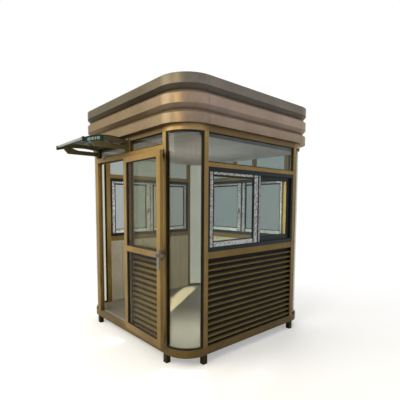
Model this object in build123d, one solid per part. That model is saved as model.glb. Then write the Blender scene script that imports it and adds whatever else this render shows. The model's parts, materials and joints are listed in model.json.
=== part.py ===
"""Security guard booth: a square cabin on feet, with four rounded glass corners.

The front wall (-Y) holds a swing door, shown folded back against the fixed side panel, and a small
canopy. The other three walls each hold a sliding window, a transom pane and a louvered lower wall.
Lengths are in millimetres, +Z is up, and the origin is on the ground under the middle of the
booth's overall box.
"""
import os

from build123d import *

os.makedirs("parts", exist_ok=True)

# ---------------------------------------------------------------- driving dimensions
# Plan
body_width = 2010.0             # outer wall face to outer wall face, both ways
corner_radius = 255.0           # outer radius of the rounded corners
wall_depth = 50.0               # depth of posts, rails and beams, outer face to inner face
post_width = 50.0               # posts beside each rounded corner

# Heights, stacked from the ground up
foot_height = 90.0
base_height = 76.0
louver_wall_height = 860.0
sill_rail_height = 65.0
window_height = 807.0
head_rail_height = 39.0
transom_height = 279.0
top_beam_height = 52.0

# Feet and floor
foot_size = 50.0
joist_width = 40.0
joist_count = 3
floor_thickness = 25.0
ceiling_thickness = 18.0
ceiling_drop = 8.0              # how far the ceiling hangs below the top of the glass

# Door and the fixed panel beside it
doorway_width = 730.0
header_height = 55.0
front_transom_height = 114.0    # glass between the header and the top beam
jamb_width = 20.0
stop_width = 15.0
stop_depth = 10.0
mullion_width = 52.0
leaf_stop_gap = 6.0             # between the closed leaf and its stops
leaf_hinge_gap = 6.0
leaf_free_gap = 9.0
leaf_top_gap = 6.0
leaf_bottom_gap = 8.0
leaf_stile_width = 60.0
leaf_top_rail = 56.0
leaf_mid_rail = 58.0
leaf_bottom_rail = 66.0
leaf_mid_rail_bottom = 866.0    # from the underside of the leaf
leaf_open_angle = 177.8         # how far the leaf stands open at rest

# Hinges and lock
hinge_count = 3
pivot_offset = 9.0              # hinge axis in front of the wall face
pivot_inset = 2.0               # hinge axis beside the mullion's edge
knuckle_radius = 6.0
knuckle_length = 38.0
knuckle_gap = 0.5
pin_radius = 3.0
pin_clearance = 0.08
hinge_plate_width = 34.0
hinge_plate_start = 7.0         # from the hinge axis to the near edge of a plate
hinge_plate_thickness = 2.5
handle_height = 890.0           # lever centre above the underside of the leaf
handle_plate_width = 42.0
handle_plate_height = 185.0
handle_plate_thickness = 6.0
lever_reach = 35.0              # how far the lever stands off the leaf
lever_length = 104.0
lever_thickness = 10.0
lever_height = 18.0
neck_radius = 9.0
latch_reach = 3.0
latch_width = 12.0
latch_height = 22.0
strike_thickness = 2.0
strike_margin = 4.0             # from the strike to each face of the closed leaf
strike_height = 110.0
strike_hole_radius = 8.0
strike_pocket_depth = 16.0

# Glass and gaskets
glass_thickness = 6.0
glass_recess = 20.0             # flat panes behind the outer wall face
curved_glass_recess = 14.0
gasket_width = 18.0
gasket_depth = 18.0
gasket_recess = 6.0

# Sliding windows
frame_bar = 35.0                # top and bottom bar of the outer frame
frame_side_bar = 20.0
frame_recess = 4.0
sash_overlap = 12.0
sash_meeting_offset = 39.0      # middle of the overlap, beside the wall's middle
sash_outer_stile = 55.0
sash_meeting_stile = 80.0
sash_top_rail = 45.0
sash_bottom_rail = 58.0
sash_gap = 2.0                  # between the outer and the inner sash
outer_sash_recess = 8.0
sash_glass_thickness = 5.0

# Louvers and linings
slat_count = 14
slat_pitch = 59.0
slat_air_gap = 5.0              # between the slats and the lining
slat_drop = 14.0
slat_thickness = 3.0
slat_lip = 5.0
louver_stile = 9.0
louver_recess = 4.0
lining_thickness = 10.0

# Transom bars of the rear wall
transom_bar_width = 45.0
transom_bar_offset = 187.0      # each side of the wall's middle

# Roof fascia of three stacked bands
roof_overhang = 60.0
band_face = 87.0
groove_depth = 40.0
groove_slope_height = 35.0      # weathered slope on top of a band
groove_soffit_height = 45.0     # undercut below the next band
fascia_back = 20.0              # how far the fascia reaches in from the wall face
cap_thickness = 12.0

# Canopy over the doorway
bracket_thickness = 28.0
bracket_flange_width = 50.0
bracket_flange_thickness = 20.0
bracket_stile_width = 50.0      # upright beside the left post that carries the left bracket
left_bracket_inset = 45.0       # its middle beside the left post
right_bracket_inset = 12.0      # its middle beside the doorway's edge
canopy_reach = 490.0            # wall face to bracket tip
canopy_crown_reach = 225.0      # wall face to the highest point of the arm
arm_wall_top = 110.0            # heights from here on are above the door header's top edge
arm_crown_top = 145.0
arm_tip_top = 93.0
arm_wall_bottom = 82.0
arm_crown_bottom = 102.0
arm_tip_bottom = 58.0
bar_bottom = 25.0
bar_top = 72.0
bar_level_reach = 262.0         # its top edge is level so far, then climbs into the arm
bar_join_reach = 345.0
bar_join_height = 94.0
bar_reach = 380.0
bar_tip_reach = 428.0
bar_tip_height = 78.0
flange_bottom = 1.0
flange_top = 108.0
rear_rail_bottom = 116.0
sheet_thickness = 5.0
sheet_gap = 0.3
sheet_overhang = 3.0
canopy_rail_height = 20.0
front_rail_cover = 3.0          # how far it stands above the sheet
canopy_rail_depth = 14.0

# ---------------------------------------------------------------- values worked out from them
half = body_width / 2
flat_half = half - corner_radius
inner = half - wall_depth
base_top = foot_height + base_height
sill_bottom = base_top + louver_wall_height
sill_top = sill_bottom + sill_rail_height
window_top = sill_top + window_height
head_top = window_top + head_rail_height
wall_top = head_top + transom_height
beam_top = wall_top + top_beam_height
bay_half = flat_half - post_width

door_left = -bay_half + jamb_width
door_right = door_left + doorway_width
mullion_right = door_right + mullion_width
header_top = wall_top - front_transom_height
header_bottom = header_top - header_height
leaf_thickness = wall_depth - stop_depth - leaf_stop_gap
strike_width = leaf_thickness - 2 * strike_margin
leaf_bottom = base_top + leaf_bottom_gap
leaf_top = header_bottom - leaf_top_gap
leaf_free_x = door_left + leaf_free_gap
leaf_hinge_x = door_right - leaf_hinge_gap
pivot_x = door_right - pivot_inset
pivot_y = -half - pivot_offset
handle_z = leaf_bottom + handle_height

sash_depth = (wall_depth - frame_recess - outer_sash_recess - sash_gap) / 2
sash_spacing = sash_depth + sash_gap
slat_depth = wall_depth - lining_thickness - louver_recess - slat_lip - slat_air_gap

band_pitch = band_face + groove_slope_height + groove_soffit_height
roof_top = beam_top + 2 * band_pitch + band_face

# The overall box runs from the canopy's front rail to the rear fascia.
front_reach = half + canopy_reach + canopy_rail_depth
rear_reach = half + roof_overhang
centre_shift = (front_reach - rear_reach) / 2


# ---------------------------------------------------------------- helpers
def block(x_range, y_range, z_range):
    """A box between two limits along each axis."""
    size = [limits[1] - limits[0] for limits in (x_range, y_range, z_range)]
    middle = [(limits[0] + limits[1]) / 2 for limits in (x_range, y_range, z_range)]
    return Pos(*middle) * Box(*size)


def depth_range(recess, depth):
    """Limits along Y of something set back from the front wall face."""
    return (-half + recess, -half + recess + depth)


def turned(shape, angle):
    """A front-wall shape turned about the booth's vertical axis to another wall."""
    return Rot(0, 0, angle) * shape


def rounded_square(offset, radius, bottom, top):
    """A solid plan square with rounded corners, its faces offset out from the wall faces."""
    width = body_width + 2 * offset
    outline = RectangleRounded(width, width, radius)
    return Pos(0, 0, bottom) * extrude(outline, top - bottom)


def ring(outer_offset, inner_offset, bottom, top):
    """A rounded square ring whose corners share their centres with the booth's corners."""
    outer = rounded_square(outer_offset, corner_radius + outer_offset, bottom, top)
    opening = rounded_square(inner_offset, corner_radius + inner_offset, bottom, top)
    return outer - opening


def framed(x_range, y_range, z_range, left, right, bottom, top):
    """A rectangular frame with bars of the given widths."""
    opening = block(
        (x_range[0] + left, x_range[1] - right),
        (y_range[0] - 1, y_range[1] + 1),
        (z_range[0] + bottom, z_range[1] - top),
    )
    return block(x_range, y_range, z_range) - opening


def save(name, *shapes):
    """Write one node, moved so that the overall box is centred over the origin."""
    solids = [solid for shape in shapes for solid in shape.solids()]
    placed = [Pos(0, centre_shift, 0) * solid for solid in solids]
    shape = placed[0] if len(placed) == 1 else Compound(children=placed)
    export_step(shape, f"parts/{name}.step")


# ---------------------------------------------------------------- base, floor and frame
def feet():
    """Two feet near each rounded corner, under the ends of the flat walls."""
    foot = block(
        (flat_half - foot_size, flat_half),
        depth_range(0, foot_size),
        (0, foot_height),
    )
    pair = [foot, mirror(foot, Plane.YZ)]
    return [turned(one, angle) for angle in (0, 90, 180, 270) for one in pair]


def joists():
    """The bearers that carry the floor from the front beam to the rear one."""
    spacing = 2 * inner / (joist_count + 1)
    centres = [-inner + spacing * (index + 1) for index in range(joist_count)]
    return [
        block(
            (centre - joist_width / 2, centre + joist_width / 2),
            (-inner, inner),
            (foot_height, base_top - floor_thickness),
        )
        for centre in centres
    ]


def inside_panel(bottom, top):
    """A plate that fills the booth between its inner wall faces."""
    corner = corner_radius - wall_depth
    clearance = corner * 0.05
    return rounded_square(-wall_depth, corner + clearance, bottom, top)


def corner_posts():
    """The two posts beside each rounded corner."""
    post = block(
        (bay_half, flat_half),
        depth_range(0, wall_depth),
        (base_top, wall_top),
    )
    pair = [post, mirror(post, Plane.YZ)]
    return [turned(one, angle) for angle in (0, 90, 180, 270) for one in pair]


def corner_sector(outer_radius, inner_radius, bottom, top, side_inset):
    """A quarter ring in the front right corner, cut square to the walls at both ends."""
    quarter = Pos(flat_half, -flat_half, bottom) * extrude(Circle(outer_radius), top - bottom)
    quarter -= Pos(flat_half, -flat_half, bottom) * extrude(Circle(inner_radius), top - bottom)
    limit = flat_half + side_inset
    return quarter & block((limit, half), (-half, -limit), (bottom, top))


def corner_glass_pane():
    """One sheet of curved glass, held by the gasket on all four edges."""
    outer_radius = corner_radius - curved_glass_recess
    return corner_sector(
        outer_radius,
        outer_radius - glass_thickness,
        base_top + gasket_width,
        wall_top - gasket_width,
        gasket_width,
    )


def corner_gasket():
    """The rubber surround of one sheet of curved glass."""
    outer_radius = corner_radius - gasket_recess
    inner_radius = outer_radius - gasket_depth
    surround = corner_sector(outer_radius, inner_radius, base_top, wall_top, 0)
    opening = corner_sector(
        outer_radius + 1,
        inner_radius - 1,
        base_top + gasket_width,
        wall_top - gasket_width,
        gasket_width,
    )
    return surround - opening


# ---------------------------------------------------------------- the three window walls
def full_rail(bottom, top):
    """A rail between the two posts of a wall."""
    return block((-bay_half, bay_half), depth_range(0, wall_depth), (bottom, top))


def louvers(left, right):
    """Sloping slats between two slim stiles, in the lower part of a wall."""
    y_range = depth_range(louver_recess, slat_depth + slat_lip)
    panel = block((left, left + louver_stile), y_range, (base_top, sill_bottom))
    panel += block((right - louver_stile, right), y_range, (base_top, sill_bottom))
    margin = (louver_wall_height - slat_count * slat_pitch) / 2
    front = -half + louver_recess
    lap = louver_stile / 2
    for index in range(slat_count):
        low = base_top + margin + index * slat_pitch + slat_pitch / 4
        outline = make_face(
            Polyline(
                (front, low),
                (front + slat_thickness, low),
                (front + slat_thickness, low + slat_lip),
                (front + slat_depth, low + slat_lip + slat_drop),
                (front + slat_depth, low + slat_lip + slat_drop + slat_thickness),
                (front, low + slat_lip + slat_thickness),
                close=True,
            )
        )
        slat = extrude(Plane.YZ * outline, right - left - 2 * lap)
        panel += Pos(left + lap, 0, 0) * slat
    return panel


def lining(left, right):
    """The flat inside board behind the louvers."""
    return block(
        (left, right),
        depth_range(wall_depth - lining_thickness, lining_thickness),
        (base_top, sill_bottom),
    )


def window_frame():
    """The outer frame of a sliding window."""
    return framed(
        (-bay_half, bay_half),
        depth_range(frame_recess, wall_depth - frame_recess),
        (sill_top, window_top),
        frame_side_bar,
        frame_side_bar,
        frame_bar,
        frame_bar,
    )


def sash_limits(index):
    """Where one of the two sashes lies: its X limits and how far it is set back."""
    clear_half = bay_half - frame_side_bar
    if index == 0:
        limits = (-clear_half, sash_meeting_offset + sash_overlap / 2)
    else:
        limits = (sash_meeting_offset - sash_overlap / 2, clear_half)
    return limits, outer_sash_recess + index * sash_spacing


def sash_stiles(index):
    """Widths of a sash's left and right stile; the wide one meets the other sash."""
    if index == 0:
        return sash_outer_stile, sash_meeting_stile
    return sash_meeting_stile, sash_outer_stile


def sash(index):
    """One sliding sash without its glass."""
    x_range, recess = sash_limits(index)
    left_stile, right_stile = sash_stiles(index)
    return framed(
        x_range,
        depth_range(recess, sash_depth),
        (sill_top + frame_bar, window_top - frame_bar),
        left_stile,
        right_stile,
        sash_bottom_rail,
        sash_top_rail,
    )


def sash_glass(index):
    """The pane of one sliding sash."""
    x_range, recess = sash_limits(index)
    left_stile, right_stile = sash_stiles(index)
    glass_back = recess + (sash_depth - sash_glass_thickness) / 2
    return block(
        (x_range[0] + left_stile, x_range[1] - right_stile),
        depth_range(glass_back, sash_glass_thickness),
        (sill_top + frame_bar + sash_bottom_rail, window_top - frame_bar - sash_top_rail),
    )


def flat_pane(left, right, bottom, top):
    """A fixed pane that fills an opening of a wall."""
    return block((left, right), depth_range(glass_recess, glass_thickness), (bottom, top))


def transom_bars():
    """The two upright bars in the rear wall's transom."""
    return [
        block(
            (side * transom_bar_offset - transom_bar_width / 2,
             side * transom_bar_offset + transom_bar_width / 2),
            depth_range(0, wall_depth),
            (head_top, wall_top),
        )
        for side in (-1, 1)
    ]


def rear_transom_panes():
    """The three panes between the rear transom's bars."""
    near = transom_bar_offset - transom_bar_width / 2
    far = transom_bar_offset + transom_bar_width / 2
    edges = [(-bay_half, -far), (-near, near), (far, bay_half)]
    return [flat_pane(left, right, head_top, wall_top) for left, right in edges]


# ---------------------------------------------------------------- the front wall
def door_jamb():
    """The jamb beside the left post, with its stop and the pocket for the strike."""
    jamb = block(
        (-bay_half, door_left),
        depth_range(0, wall_depth),
        (base_top, header_bottom),
    )
    jamb += block(
        (door_left, door_left + stop_width),
        depth_range(wall_depth - stop_depth, stop_depth),
        (base_top, header_bottom),
    )
    leaf_middle = -half + leaf_thickness / 2
    jamb -= block(
        (door_left - strike_thickness, door_left + 1),
        (leaf_middle - strike_width / 2, leaf_middle + strike_width / 2),
        (handle_z - strike_height / 2, handle_z + strike_height / 2),
    )
    jamb -= Pos(door_left, leaf_middle, handle_z) * Rot(0, 90, 0) * Cylinder(
        strike_hole_radius, 2 * strike_pocket_depth
    )
    return jamb


def strike_plate():
    """The metal plate let into the jamb, with a round hole for the latch."""
    leaf_middle = -half + leaf_thickness / 2
    plate = block(
        (door_left - strike_thickness, door_left),
        (leaf_middle - strike_width / 2, leaf_middle + strike_width / 2),
        (handle_z - strike_height / 2, handle_z + strike_height / 2),
    )
    hole = Pos(door_left, leaf_middle, handle_z) * Rot(0, 90, 0) * Cylinder(
        strike_hole_radius, 2 * strike_pocket_depth
    )
    return plate - hole


def front_mullion():
    """The upright between the doorway and the fixed panel, from the base to the header."""
    return block(
        (door_right, mullion_right),
        depth_range(0, wall_depth),
        (base_top, header_bottom),
    )


def front_header():
    """The rail over the doorway and the fixed panel, with its stop and the transom's uprights."""
    header = full_rail(header_bottom, header_top)
    header += block(
        (door_left + stop_width, door_right),
        depth_range(wall_depth - stop_depth, stop_depth),
        (header_bottom - stop_width, header_bottom),
    )
    for limits in ((-bay_half, -bay_half + bracket_stile_width), (door_right, mullion_right)):
        header += block(limits, depth_range(0, wall_depth), (header_top, wall_top))
    return header


# ---------------------------------------------------------------- the door leaf, drawn closed
def opened(shape):
    """A closed-door shape turned about the hinge axis to where the leaf stands at rest."""
    axis = Axis((pivot_x, pivot_y, 0), (0, 0, 1))
    return shape.rotate(axis, leaf_open_angle)


def leaf_openings():
    """Height limits of the leaf's lower and upper glass."""
    mid_bottom = leaf_bottom + leaf_mid_rail_bottom
    lower = (leaf_bottom + leaf_bottom_rail, mid_bottom)
    upper = (mid_bottom + leaf_mid_rail, leaf_top - leaf_top_rail)
    return lower, upper


def leaf_frame():
    """Stiles and rails of the leaf."""
    frame = block(
        (leaf_free_x, leaf_hinge_x),
        depth_range(0, leaf_thickness),
        (leaf_bottom, leaf_top),
    )
    for opening in leaf_openings():
        frame -= block(
            (leaf_free_x + leaf_stile_width, leaf_hinge_x - leaf_stile_width),
            depth_range(-1, leaf_thickness + 2),
            opening,
        )
    return frame


def leaf_panes():
    """The two panes of the leaf."""
    return [
        block(
            (leaf_free_x + leaf_stile_width, leaf_hinge_x - leaf_stile_width),
            depth_range((leaf_thickness - glass_thickness) / 2, glass_thickness),
            opening,
        )
        for opening in leaf_openings()
    ]


def handle_set(outside):
    """A long plate with a neck and a lever, on the outside or the inside of the leaf."""
    side = -1 if outside else 1
    face = -half if outside else -half + leaf_thickness
    centre = leaf_free_x + leaf_stile_width / 2
    plate_half = handle_plate_width / 2
    out = face + side * lever_reach
    handle = block(
        (centre - plate_half, centre + plate_half),
        sorted((face, face + side * handle_plate_thickness)),
        (handle_z - handle_plate_height * 0.68, handle_z + handle_plate_height * 0.32),
    )
    middle = (face + out) / 2
    handle += Pos(centre, middle, handle_z) * Rot(90, 0, 0) * Cylinder(neck_radius, lever_reach)
    handle += block(
        (centre - neck_radius, centre - neck_radius + lever_length),
        sorted((out, out - side * lever_thickness)),
        (handle_z - lever_height / 2, handle_z + lever_height / 2),
    )
    return handle


def latch():
    """The latch bolt standing a little out of the leaf's free edge."""
    leaf_middle = -half + leaf_thickness / 2
    return block(
        (leaf_free_x - latch_reach, leaf_free_x),
        (leaf_middle - latch_width / 2, leaf_middle + latch_width / 2),
        (handle_z - latch_height / 2, handle_z + latch_height / 2),
    )


def hinge_heights():
    """The height of the middle of each hinge."""
    first = leaf_bottom + 5 * knuckle_length
    last = leaf_top - 5 * knuckle_length
    step = (last - first) / (hinge_count - 1)
    return [first + step * index for index in range(hinge_count)]


def hinge_side(height, fixed):
    """One half of a hinge: plate, web and knuckle, with the pin on the fixed half."""
    side = 1 if fixed else -1
    low = height - knuckle_length - knuckle_gap / 2 if fixed else height + knuckle_gap / 2
    knuckle_range = (low, low + knuckle_length)
    edge = pivot_x + side * hinge_plate_start
    reach = edge + side * hinge_plate_width
    half_hinge = Pos(pivot_x, pivot_y, low + knuckle_length / 2) * Cylinder(
        knuckle_radius, knuckle_length
    )
    web = block(
        sorted((pivot_x, edge + side * hinge_plate_thickness)),
        (pivot_y, -half),
        knuckle_range,
    )
    plate = block(
        sorted((edge, reach)),
        (-half - hinge_plate_thickness, -half),
        (height - knuckle_length, height + knuckle_length),
    )
    half_hinge += web + plate
    if fixed:
        pin = Pos(pivot_x, pivot_y, height) * Cylinder(pin_radius, 1.9 * knuckle_length)
        return half_hinge + pin
    bore = Pos(pivot_x, pivot_y, low + knuckle_length / 2) * Cylinder(
        pin_radius + pin_clearance, knuckle_length
    )
    return half_hinge - bore


# ---------------------------------------------------------------- roof
def fascia_band(face_bottom, soffit_below, slope_above, face_top):
    """One band of the fascia: a ring with an undercut below its face and a slope above it.

    Each part is a rounded square, and the undercut and the slope are tapered by lofting between
    two of them.
    """
    band = rounded_square(roof_overhang, corner_radius + roof_overhang, face_bottom, face_top)
    low, high = face_bottom, face_top
    if soffit_below:
        low = face_bottom - groove_soffit_height
        band += tapered(low, roof_overhang - groove_depth, face_bottom, roof_overhang)
    if slope_above:
        high = face_top + groove_slope_height
        band += tapered(face_top, roof_overhang, high, roof_overhang - groove_depth)
    opening = rounded_square(-fascia_back, corner_radius - fascia_back, low - 1, high + 1)
    return band - opening


def tapered(low, low_offset, high, high_offset):
    """A rounded square that widens or narrows evenly from one height to another."""
    sections = [
        Pos(0, 0, level) * RectangleRounded(
            body_width + 2 * offset, body_width + 2 * offset, corner_radius + offset
        )
        for level, offset in ((low, low_offset), (high, high_offset))
    ]
    return loft(sections, ruled=True)


def roof_bands():
    """The three bands from the lowest up."""
    first = beam_top
    second = first + band_pitch
    third = second + band_pitch
    return [
        fascia_band(first, False, True, first + band_face),
        fascia_band(second, True, True, second + band_face),
        fascia_band(third, True, False, roof_top - cap_thickness),
    ]


# ---------------------------------------------------------------- canopy
def arm_top():
    """The arc of the arm's upper edge, drawn as (reach, height)."""
    return ThreePointArc(
        (0, header_top + arm_wall_top),
        (canopy_crown_reach, header_top + arm_crown_top),
        (canopy_reach, header_top + arm_tip_top),
    )


def swung_out(outline, thickness):
    """Extrude a (reach, height) outline along X, with reach measured out from the wall face."""
    plane = Plane(origin=(0, -half, 0), x_dir=(0, -1, 0), z_dir=(-1, 0, 0))
    return extrude(plane * outline, thickness / 2, both=True)


def canopy_bracket(centre):
    """A wing-like bracket: flange, arched arm and a bar below it that climbs into the arm."""
    upper = arm_top()
    low_tip = (canopy_reach, header_top + arm_tip_bottom)
    low_crown = (canopy_crown_reach, header_top + arm_crown_bottom)
    low_wall = (0, header_top + arm_wall_bottom)
    arm = make_face([
        upper,
        Line(upper @ 1, low_tip),
        ThreePointArc(low_tip, low_crown, low_wall),
        Line(low_wall, upper @ 0),
    ])
    bar = make_face(
        Polyline(
            (0, header_top + bar_bottom),
            (bar_reach, header_top + bar_bottom),
            (bar_tip_reach, header_top + bar_tip_height),
            (bar_join_reach, header_top + bar_join_height),
            (bar_level_reach, header_top + bar_top),
            (0, header_top + bar_top),
            close=True,
        )
    )
    bracket = swung_out(arm, bracket_thickness) + swung_out(bar, bracket_thickness)
    bracket += block(
        (-bracket_flange_width / 2, bracket_flange_width / 2),
        (-half - bracket_flange_thickness, -half),
        (header_top + flange_bottom, header_top + flange_top),
    )
    return Pos(centre, 0, 0) * bracket


def bracket_centres():
    """X of the left and the right bracket: beside the left post and over the mullion."""
    left = -bay_half + left_bracket_inset
    right = door_right + right_bracket_inset
    return left, right


def canopy_width_limits():
    """X limits of the sheet and its rails."""
    left, right = bracket_centres()
    overhang = bracket_thickness / 2 + sheet_overhang
    return left - overhang, right + overhang


def canopy_sheet():
    """The arched translucent sheet lying just over both arms, on the same centre as their arc."""
    arc = arm_top()
    centre = Pos(arc.arc_center.X, arc.arc_center.Y)
    inner_radius = arc.radius + sheet_gap
    shell = centre * Circle(inner_radius + sheet_thickness) - centre * Circle(inner_radius)
    strip_width = canopy_reach - canopy_rail_depth
    strip = Pos(canopy_rail_depth + strip_width / 2, header_top + arm_crown_top) * Rectangle(
        strip_width, arm_crown_top
    )
    left, right = canopy_width_limits()
    return Pos((left + right) / 2, 0, 0) * swung_out(shell & strip, right - left)


def canopy_rails():
    """The front and the rear profile that close the sheet's edges."""
    left, right = canopy_width_limits()
    rail_top = header_top + arm_tip_top + sheet_thickness + front_rail_cover
    front = block(
        (left, right),
        (-half - canopy_reach - canopy_rail_depth, -half - canopy_reach),
        (rail_top - canopy_rail_height, rail_top),
    )
    rear = block(
        (left, right),
        (-half - canopy_rail_depth, -half),
        (header_top + rear_rail_bottom, header_top + rear_rail_bottom + canopy_rail_height),
    )
    return [front, rear]


# ---------------------------------------------------------------- write every node
save("feet", *feet())
save("base_beam", ring(0, -wall_depth, foot_height, base_top))
save("floor_joists", *joists())
save("floor_panel", inside_panel(base_top - floor_thickness, base_top))
save("corner_posts", *corner_posts())
save("top_beam", ring(0, -wall_depth, wall_top, beam_top))
save("corner_glass", *[turned(corner_glass_pane(), angle) for angle in (0, 90, 180, 270)])
save("corner_gaskets", *[turned(corner_gasket(), angle) for angle in (0, 90, 180, 270)])

window_walls = {"right": 90, "rear": 180, "left": 270}
save(
    "sill_rails",
    block((mullion_right, bay_half), depth_range(0, wall_depth), (sill_bottom, sill_top)),
    *[turned(full_rail(sill_bottom, sill_top), angle) for angle in window_walls.values()],
)
save(
    "head_rails",
    *[turned(full_rail(window_top, head_top), angle) for angle in window_walls.values()],
)
save(
    "wall_linings",
    lining(mullion_right, bay_half),
    *[turned(lining(-bay_half, bay_half), angle) for angle in window_walls.values()],
)
for wall_name, wall_angle in window_walls.items():
    panes = [sash_glass(0), sash_glass(1)]
    if wall_name == "rear":
        panes += rear_transom_panes()
    else:
        panes.append(flat_pane(-bay_half, bay_half, head_top, wall_top))
    save(f"{wall_name}_louvers", turned(louvers(-bay_half, bay_half), wall_angle))
    save(f"{wall_name}_window_frame", turned(window_frame(), wall_angle))
    save(f"{wall_name}_sashes", *[turned(sash(index), wall_angle) for index in (0, 1)])
    save(f"{wall_name}_glass", *[turned(pane, wall_angle) for pane in panes])
save("rear_transom_bars", *[turned(bar, 180) for bar in transom_bars()])

save("door_jamb", door_jamb())
save("strike_plate", strike_plate())
save("front_mullion", front_mullion())
save("front_header", front_header())
save("side_panel_louvers", louvers(mullion_right, bay_half))
save(
    "front_glass",
    flat_pane(-bay_half + bracket_stile_width, door_right, header_top, wall_top),
    flat_pane(mullion_right, bay_half, header_top, wall_top),
    flat_pane(mullion_right, bay_half, sill_top, header_bottom),
)
save("hinge_plates", *[hinge_side(height, True) for height in hinge_heights()])

save("door_leaf_frame", opened(leaf_frame()))
save("door_glass", *[opened(pane) for pane in leaf_panes()])
save("door_hinges", *[opened(hinge_side(height, False)) for height in hinge_heights()])
save("door_handles", opened(handle_set(True)), opened(handle_set(False)))
save("door_latch", opened(latch()))

for band_name, band_shape in zip(("bottom", "middle", "top"), roof_bands()):
    save(f"roof_band_{band_name}", band_shape)
save(
    "roof_cap",
    rounded_square(roof_overhang, corner_radius + roof_overhang, roof_top - cap_thickness, roof_top),
)
save(
    "ceiling",
    inside_panel(wall_top - ceiling_drop, wall_top - ceiling_drop + ceiling_thickness),
)

left_bracket, right_bracket = bracket_centres()
save("canopy_bracket_left", canopy_bracket(left_bracket))
save("canopy_bracket_right", canopy_bracket(right_bracket))
save("canopy_sheet", canopy_sheet())
save("canopy_rails", *canopy_rails())

print("hinge axis, mm:", round(pivot_x, 3), round(pivot_y + centre_shift, 3))
print("centre shift, mm:", centre_shift, " height, mm:", roof_top)
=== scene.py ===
"""Finishes, seals, fittings, light and camera of the guard booth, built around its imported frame.

Lengths are in metres and +Z is up. Each wall has coordinates of its own: u runs along the wall, to the
right for someone who stands outside, d runs inwards from the wall's outer face, and z runs up. The door
leaf is drawn closed, in the front wall's coordinates, and then turned about its hinge to where it rests.
"""
import json
import logging
import math
import random
from dataclasses import dataclass
from enum import Enum
from functools import lru_cache
from typing import Callable, Iterable, Optional, Sequence, Union

import bmesh
import bpy
from mathutils import Matrix, Vector


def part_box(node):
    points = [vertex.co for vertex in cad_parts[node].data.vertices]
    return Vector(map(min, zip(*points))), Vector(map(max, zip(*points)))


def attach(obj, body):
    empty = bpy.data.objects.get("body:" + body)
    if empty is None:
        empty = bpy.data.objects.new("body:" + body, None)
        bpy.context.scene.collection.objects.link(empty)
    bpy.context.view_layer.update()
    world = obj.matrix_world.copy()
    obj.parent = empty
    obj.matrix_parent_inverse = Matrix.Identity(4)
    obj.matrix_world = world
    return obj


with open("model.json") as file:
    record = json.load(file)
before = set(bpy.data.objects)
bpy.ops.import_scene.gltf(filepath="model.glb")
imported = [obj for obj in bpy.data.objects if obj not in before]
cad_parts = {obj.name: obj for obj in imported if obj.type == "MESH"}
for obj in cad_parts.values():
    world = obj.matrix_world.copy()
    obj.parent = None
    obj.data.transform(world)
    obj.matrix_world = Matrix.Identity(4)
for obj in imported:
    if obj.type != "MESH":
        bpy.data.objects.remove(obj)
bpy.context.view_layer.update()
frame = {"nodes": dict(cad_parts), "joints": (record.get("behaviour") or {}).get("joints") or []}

log = logging.getLogger("guard_booth")

Colour = tuple[float, float, float]
Pair = tuple[float, float]
Section = Sequence[Pair]
Ring = Sequence[bmesh.types.BMVert]
Socket = bpy.types.NodeSocket
SocketOr = Union[bpy.types.NodeSocket, float, Sequence[float]]
GroupInputs = bpy.types.NodeOutputs
GroupOutputs = bpy.types.NodeInputs

MERGE_DISTANCE = 1e-6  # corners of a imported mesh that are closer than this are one
BLACK: Colour = (0.0, 0.0, 0.0)
WHITE: Colour = (1.0, 1.0, 1.0)


class Body(str, Enum):
    """The rigid bodies that a piece can ride on."""

    BOOTH = "booth"
    DOOR = "door"


class Slot(str, Enum):
    """Material slots of the record, which added pieces name though nothing reads them."""

    BRONZE = "bronze"
    DARK_BRONZE = "dark_bronze"
    WINDOW_ALUMINIUM = "window_aluminium"
    RAIL_ALUMINIUM = "rail_aluminium"
    GASKET_RUBBER = "gasket_rubber"
    LINING_BOARD = "lining_board"
    HARDWARE_STEEL = "hardware_steel"


class Side(Enum):
    """The four walls, with the turn in degrees that takes the front wall there."""

    FRONT = 0
    RIGHT = 90
    REAR = 180
    LEFT = 270

    @property
    def label(self) -> str:
        """The wall's name in lower case."""
        return self.name.lower()


class Face(Enum):
    """A wall's two faces, with the sign along d of a step off each."""

    OUTER = -1.0
    INNER = 1.0

    @property
    def axis(self) -> Vector:
        """The direction that the face looks in."""
        return Vector((0.0, self.value, 0.0))

    def plate_axes(self, depth: float) -> Matrix:
        """Axes of a plate on the face: its plane is (u, z) and its thickness runs off the face."""
        return Matrix(((1, 0, 0, 0), (0, 0, self.value, depth), (0, 1, 0, 0), (0, 0, 0, 1)))


# --- reading the frame
@dataclass(frozen=True)
class Limits:
    """A box between two corners."""

    low: Vector
    high: Vector

    @property
    def size(self) -> Vector:
        """Width, depth and height."""
        return self.high - self.low

    @property
    def middle(self) -> Vector:
        """The box's centre."""
        return (self.low + self.high) / 2

    @property
    def u_range(self) -> Pair:
        """Where it starts and ends along the wall."""
        return self.low.x, self.high.x

    @property
    def z_range(self) -> Pair:
        """Where it starts and ends in height."""
        return self.low.z, self.high.z

    @property
    def order(self) -> tuple[float, ...]:
        """What solids are sorted by: their lowest corner, along the wall first."""
        return tuple(round(value, 4) for value in (self.low.x, self.low.z, self.low.y))

    def depth(self, face: Face) -> float:
        """Where its outer or inner face lies in the wall."""
        return self.low.y if face is Face.OUTER else self.high.y

    def up(self, share: float) -> float:
        """The height at a share of its own height."""
        return self.low.z + share * self.size.z


def limits_of(points: Iterable[Vector]) -> Limits:
    """The box around some points."""
    corners = list(zip(*[tuple(point) for point in points]))
    return Limits(Vector([min(values) for values in corners]), Vector([max(values) for values in corners]))


def node_limits(node: str) -> Limits:
    """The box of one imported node, in the row frame."""
    low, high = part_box(node)
    return Limits(low, high)


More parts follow.
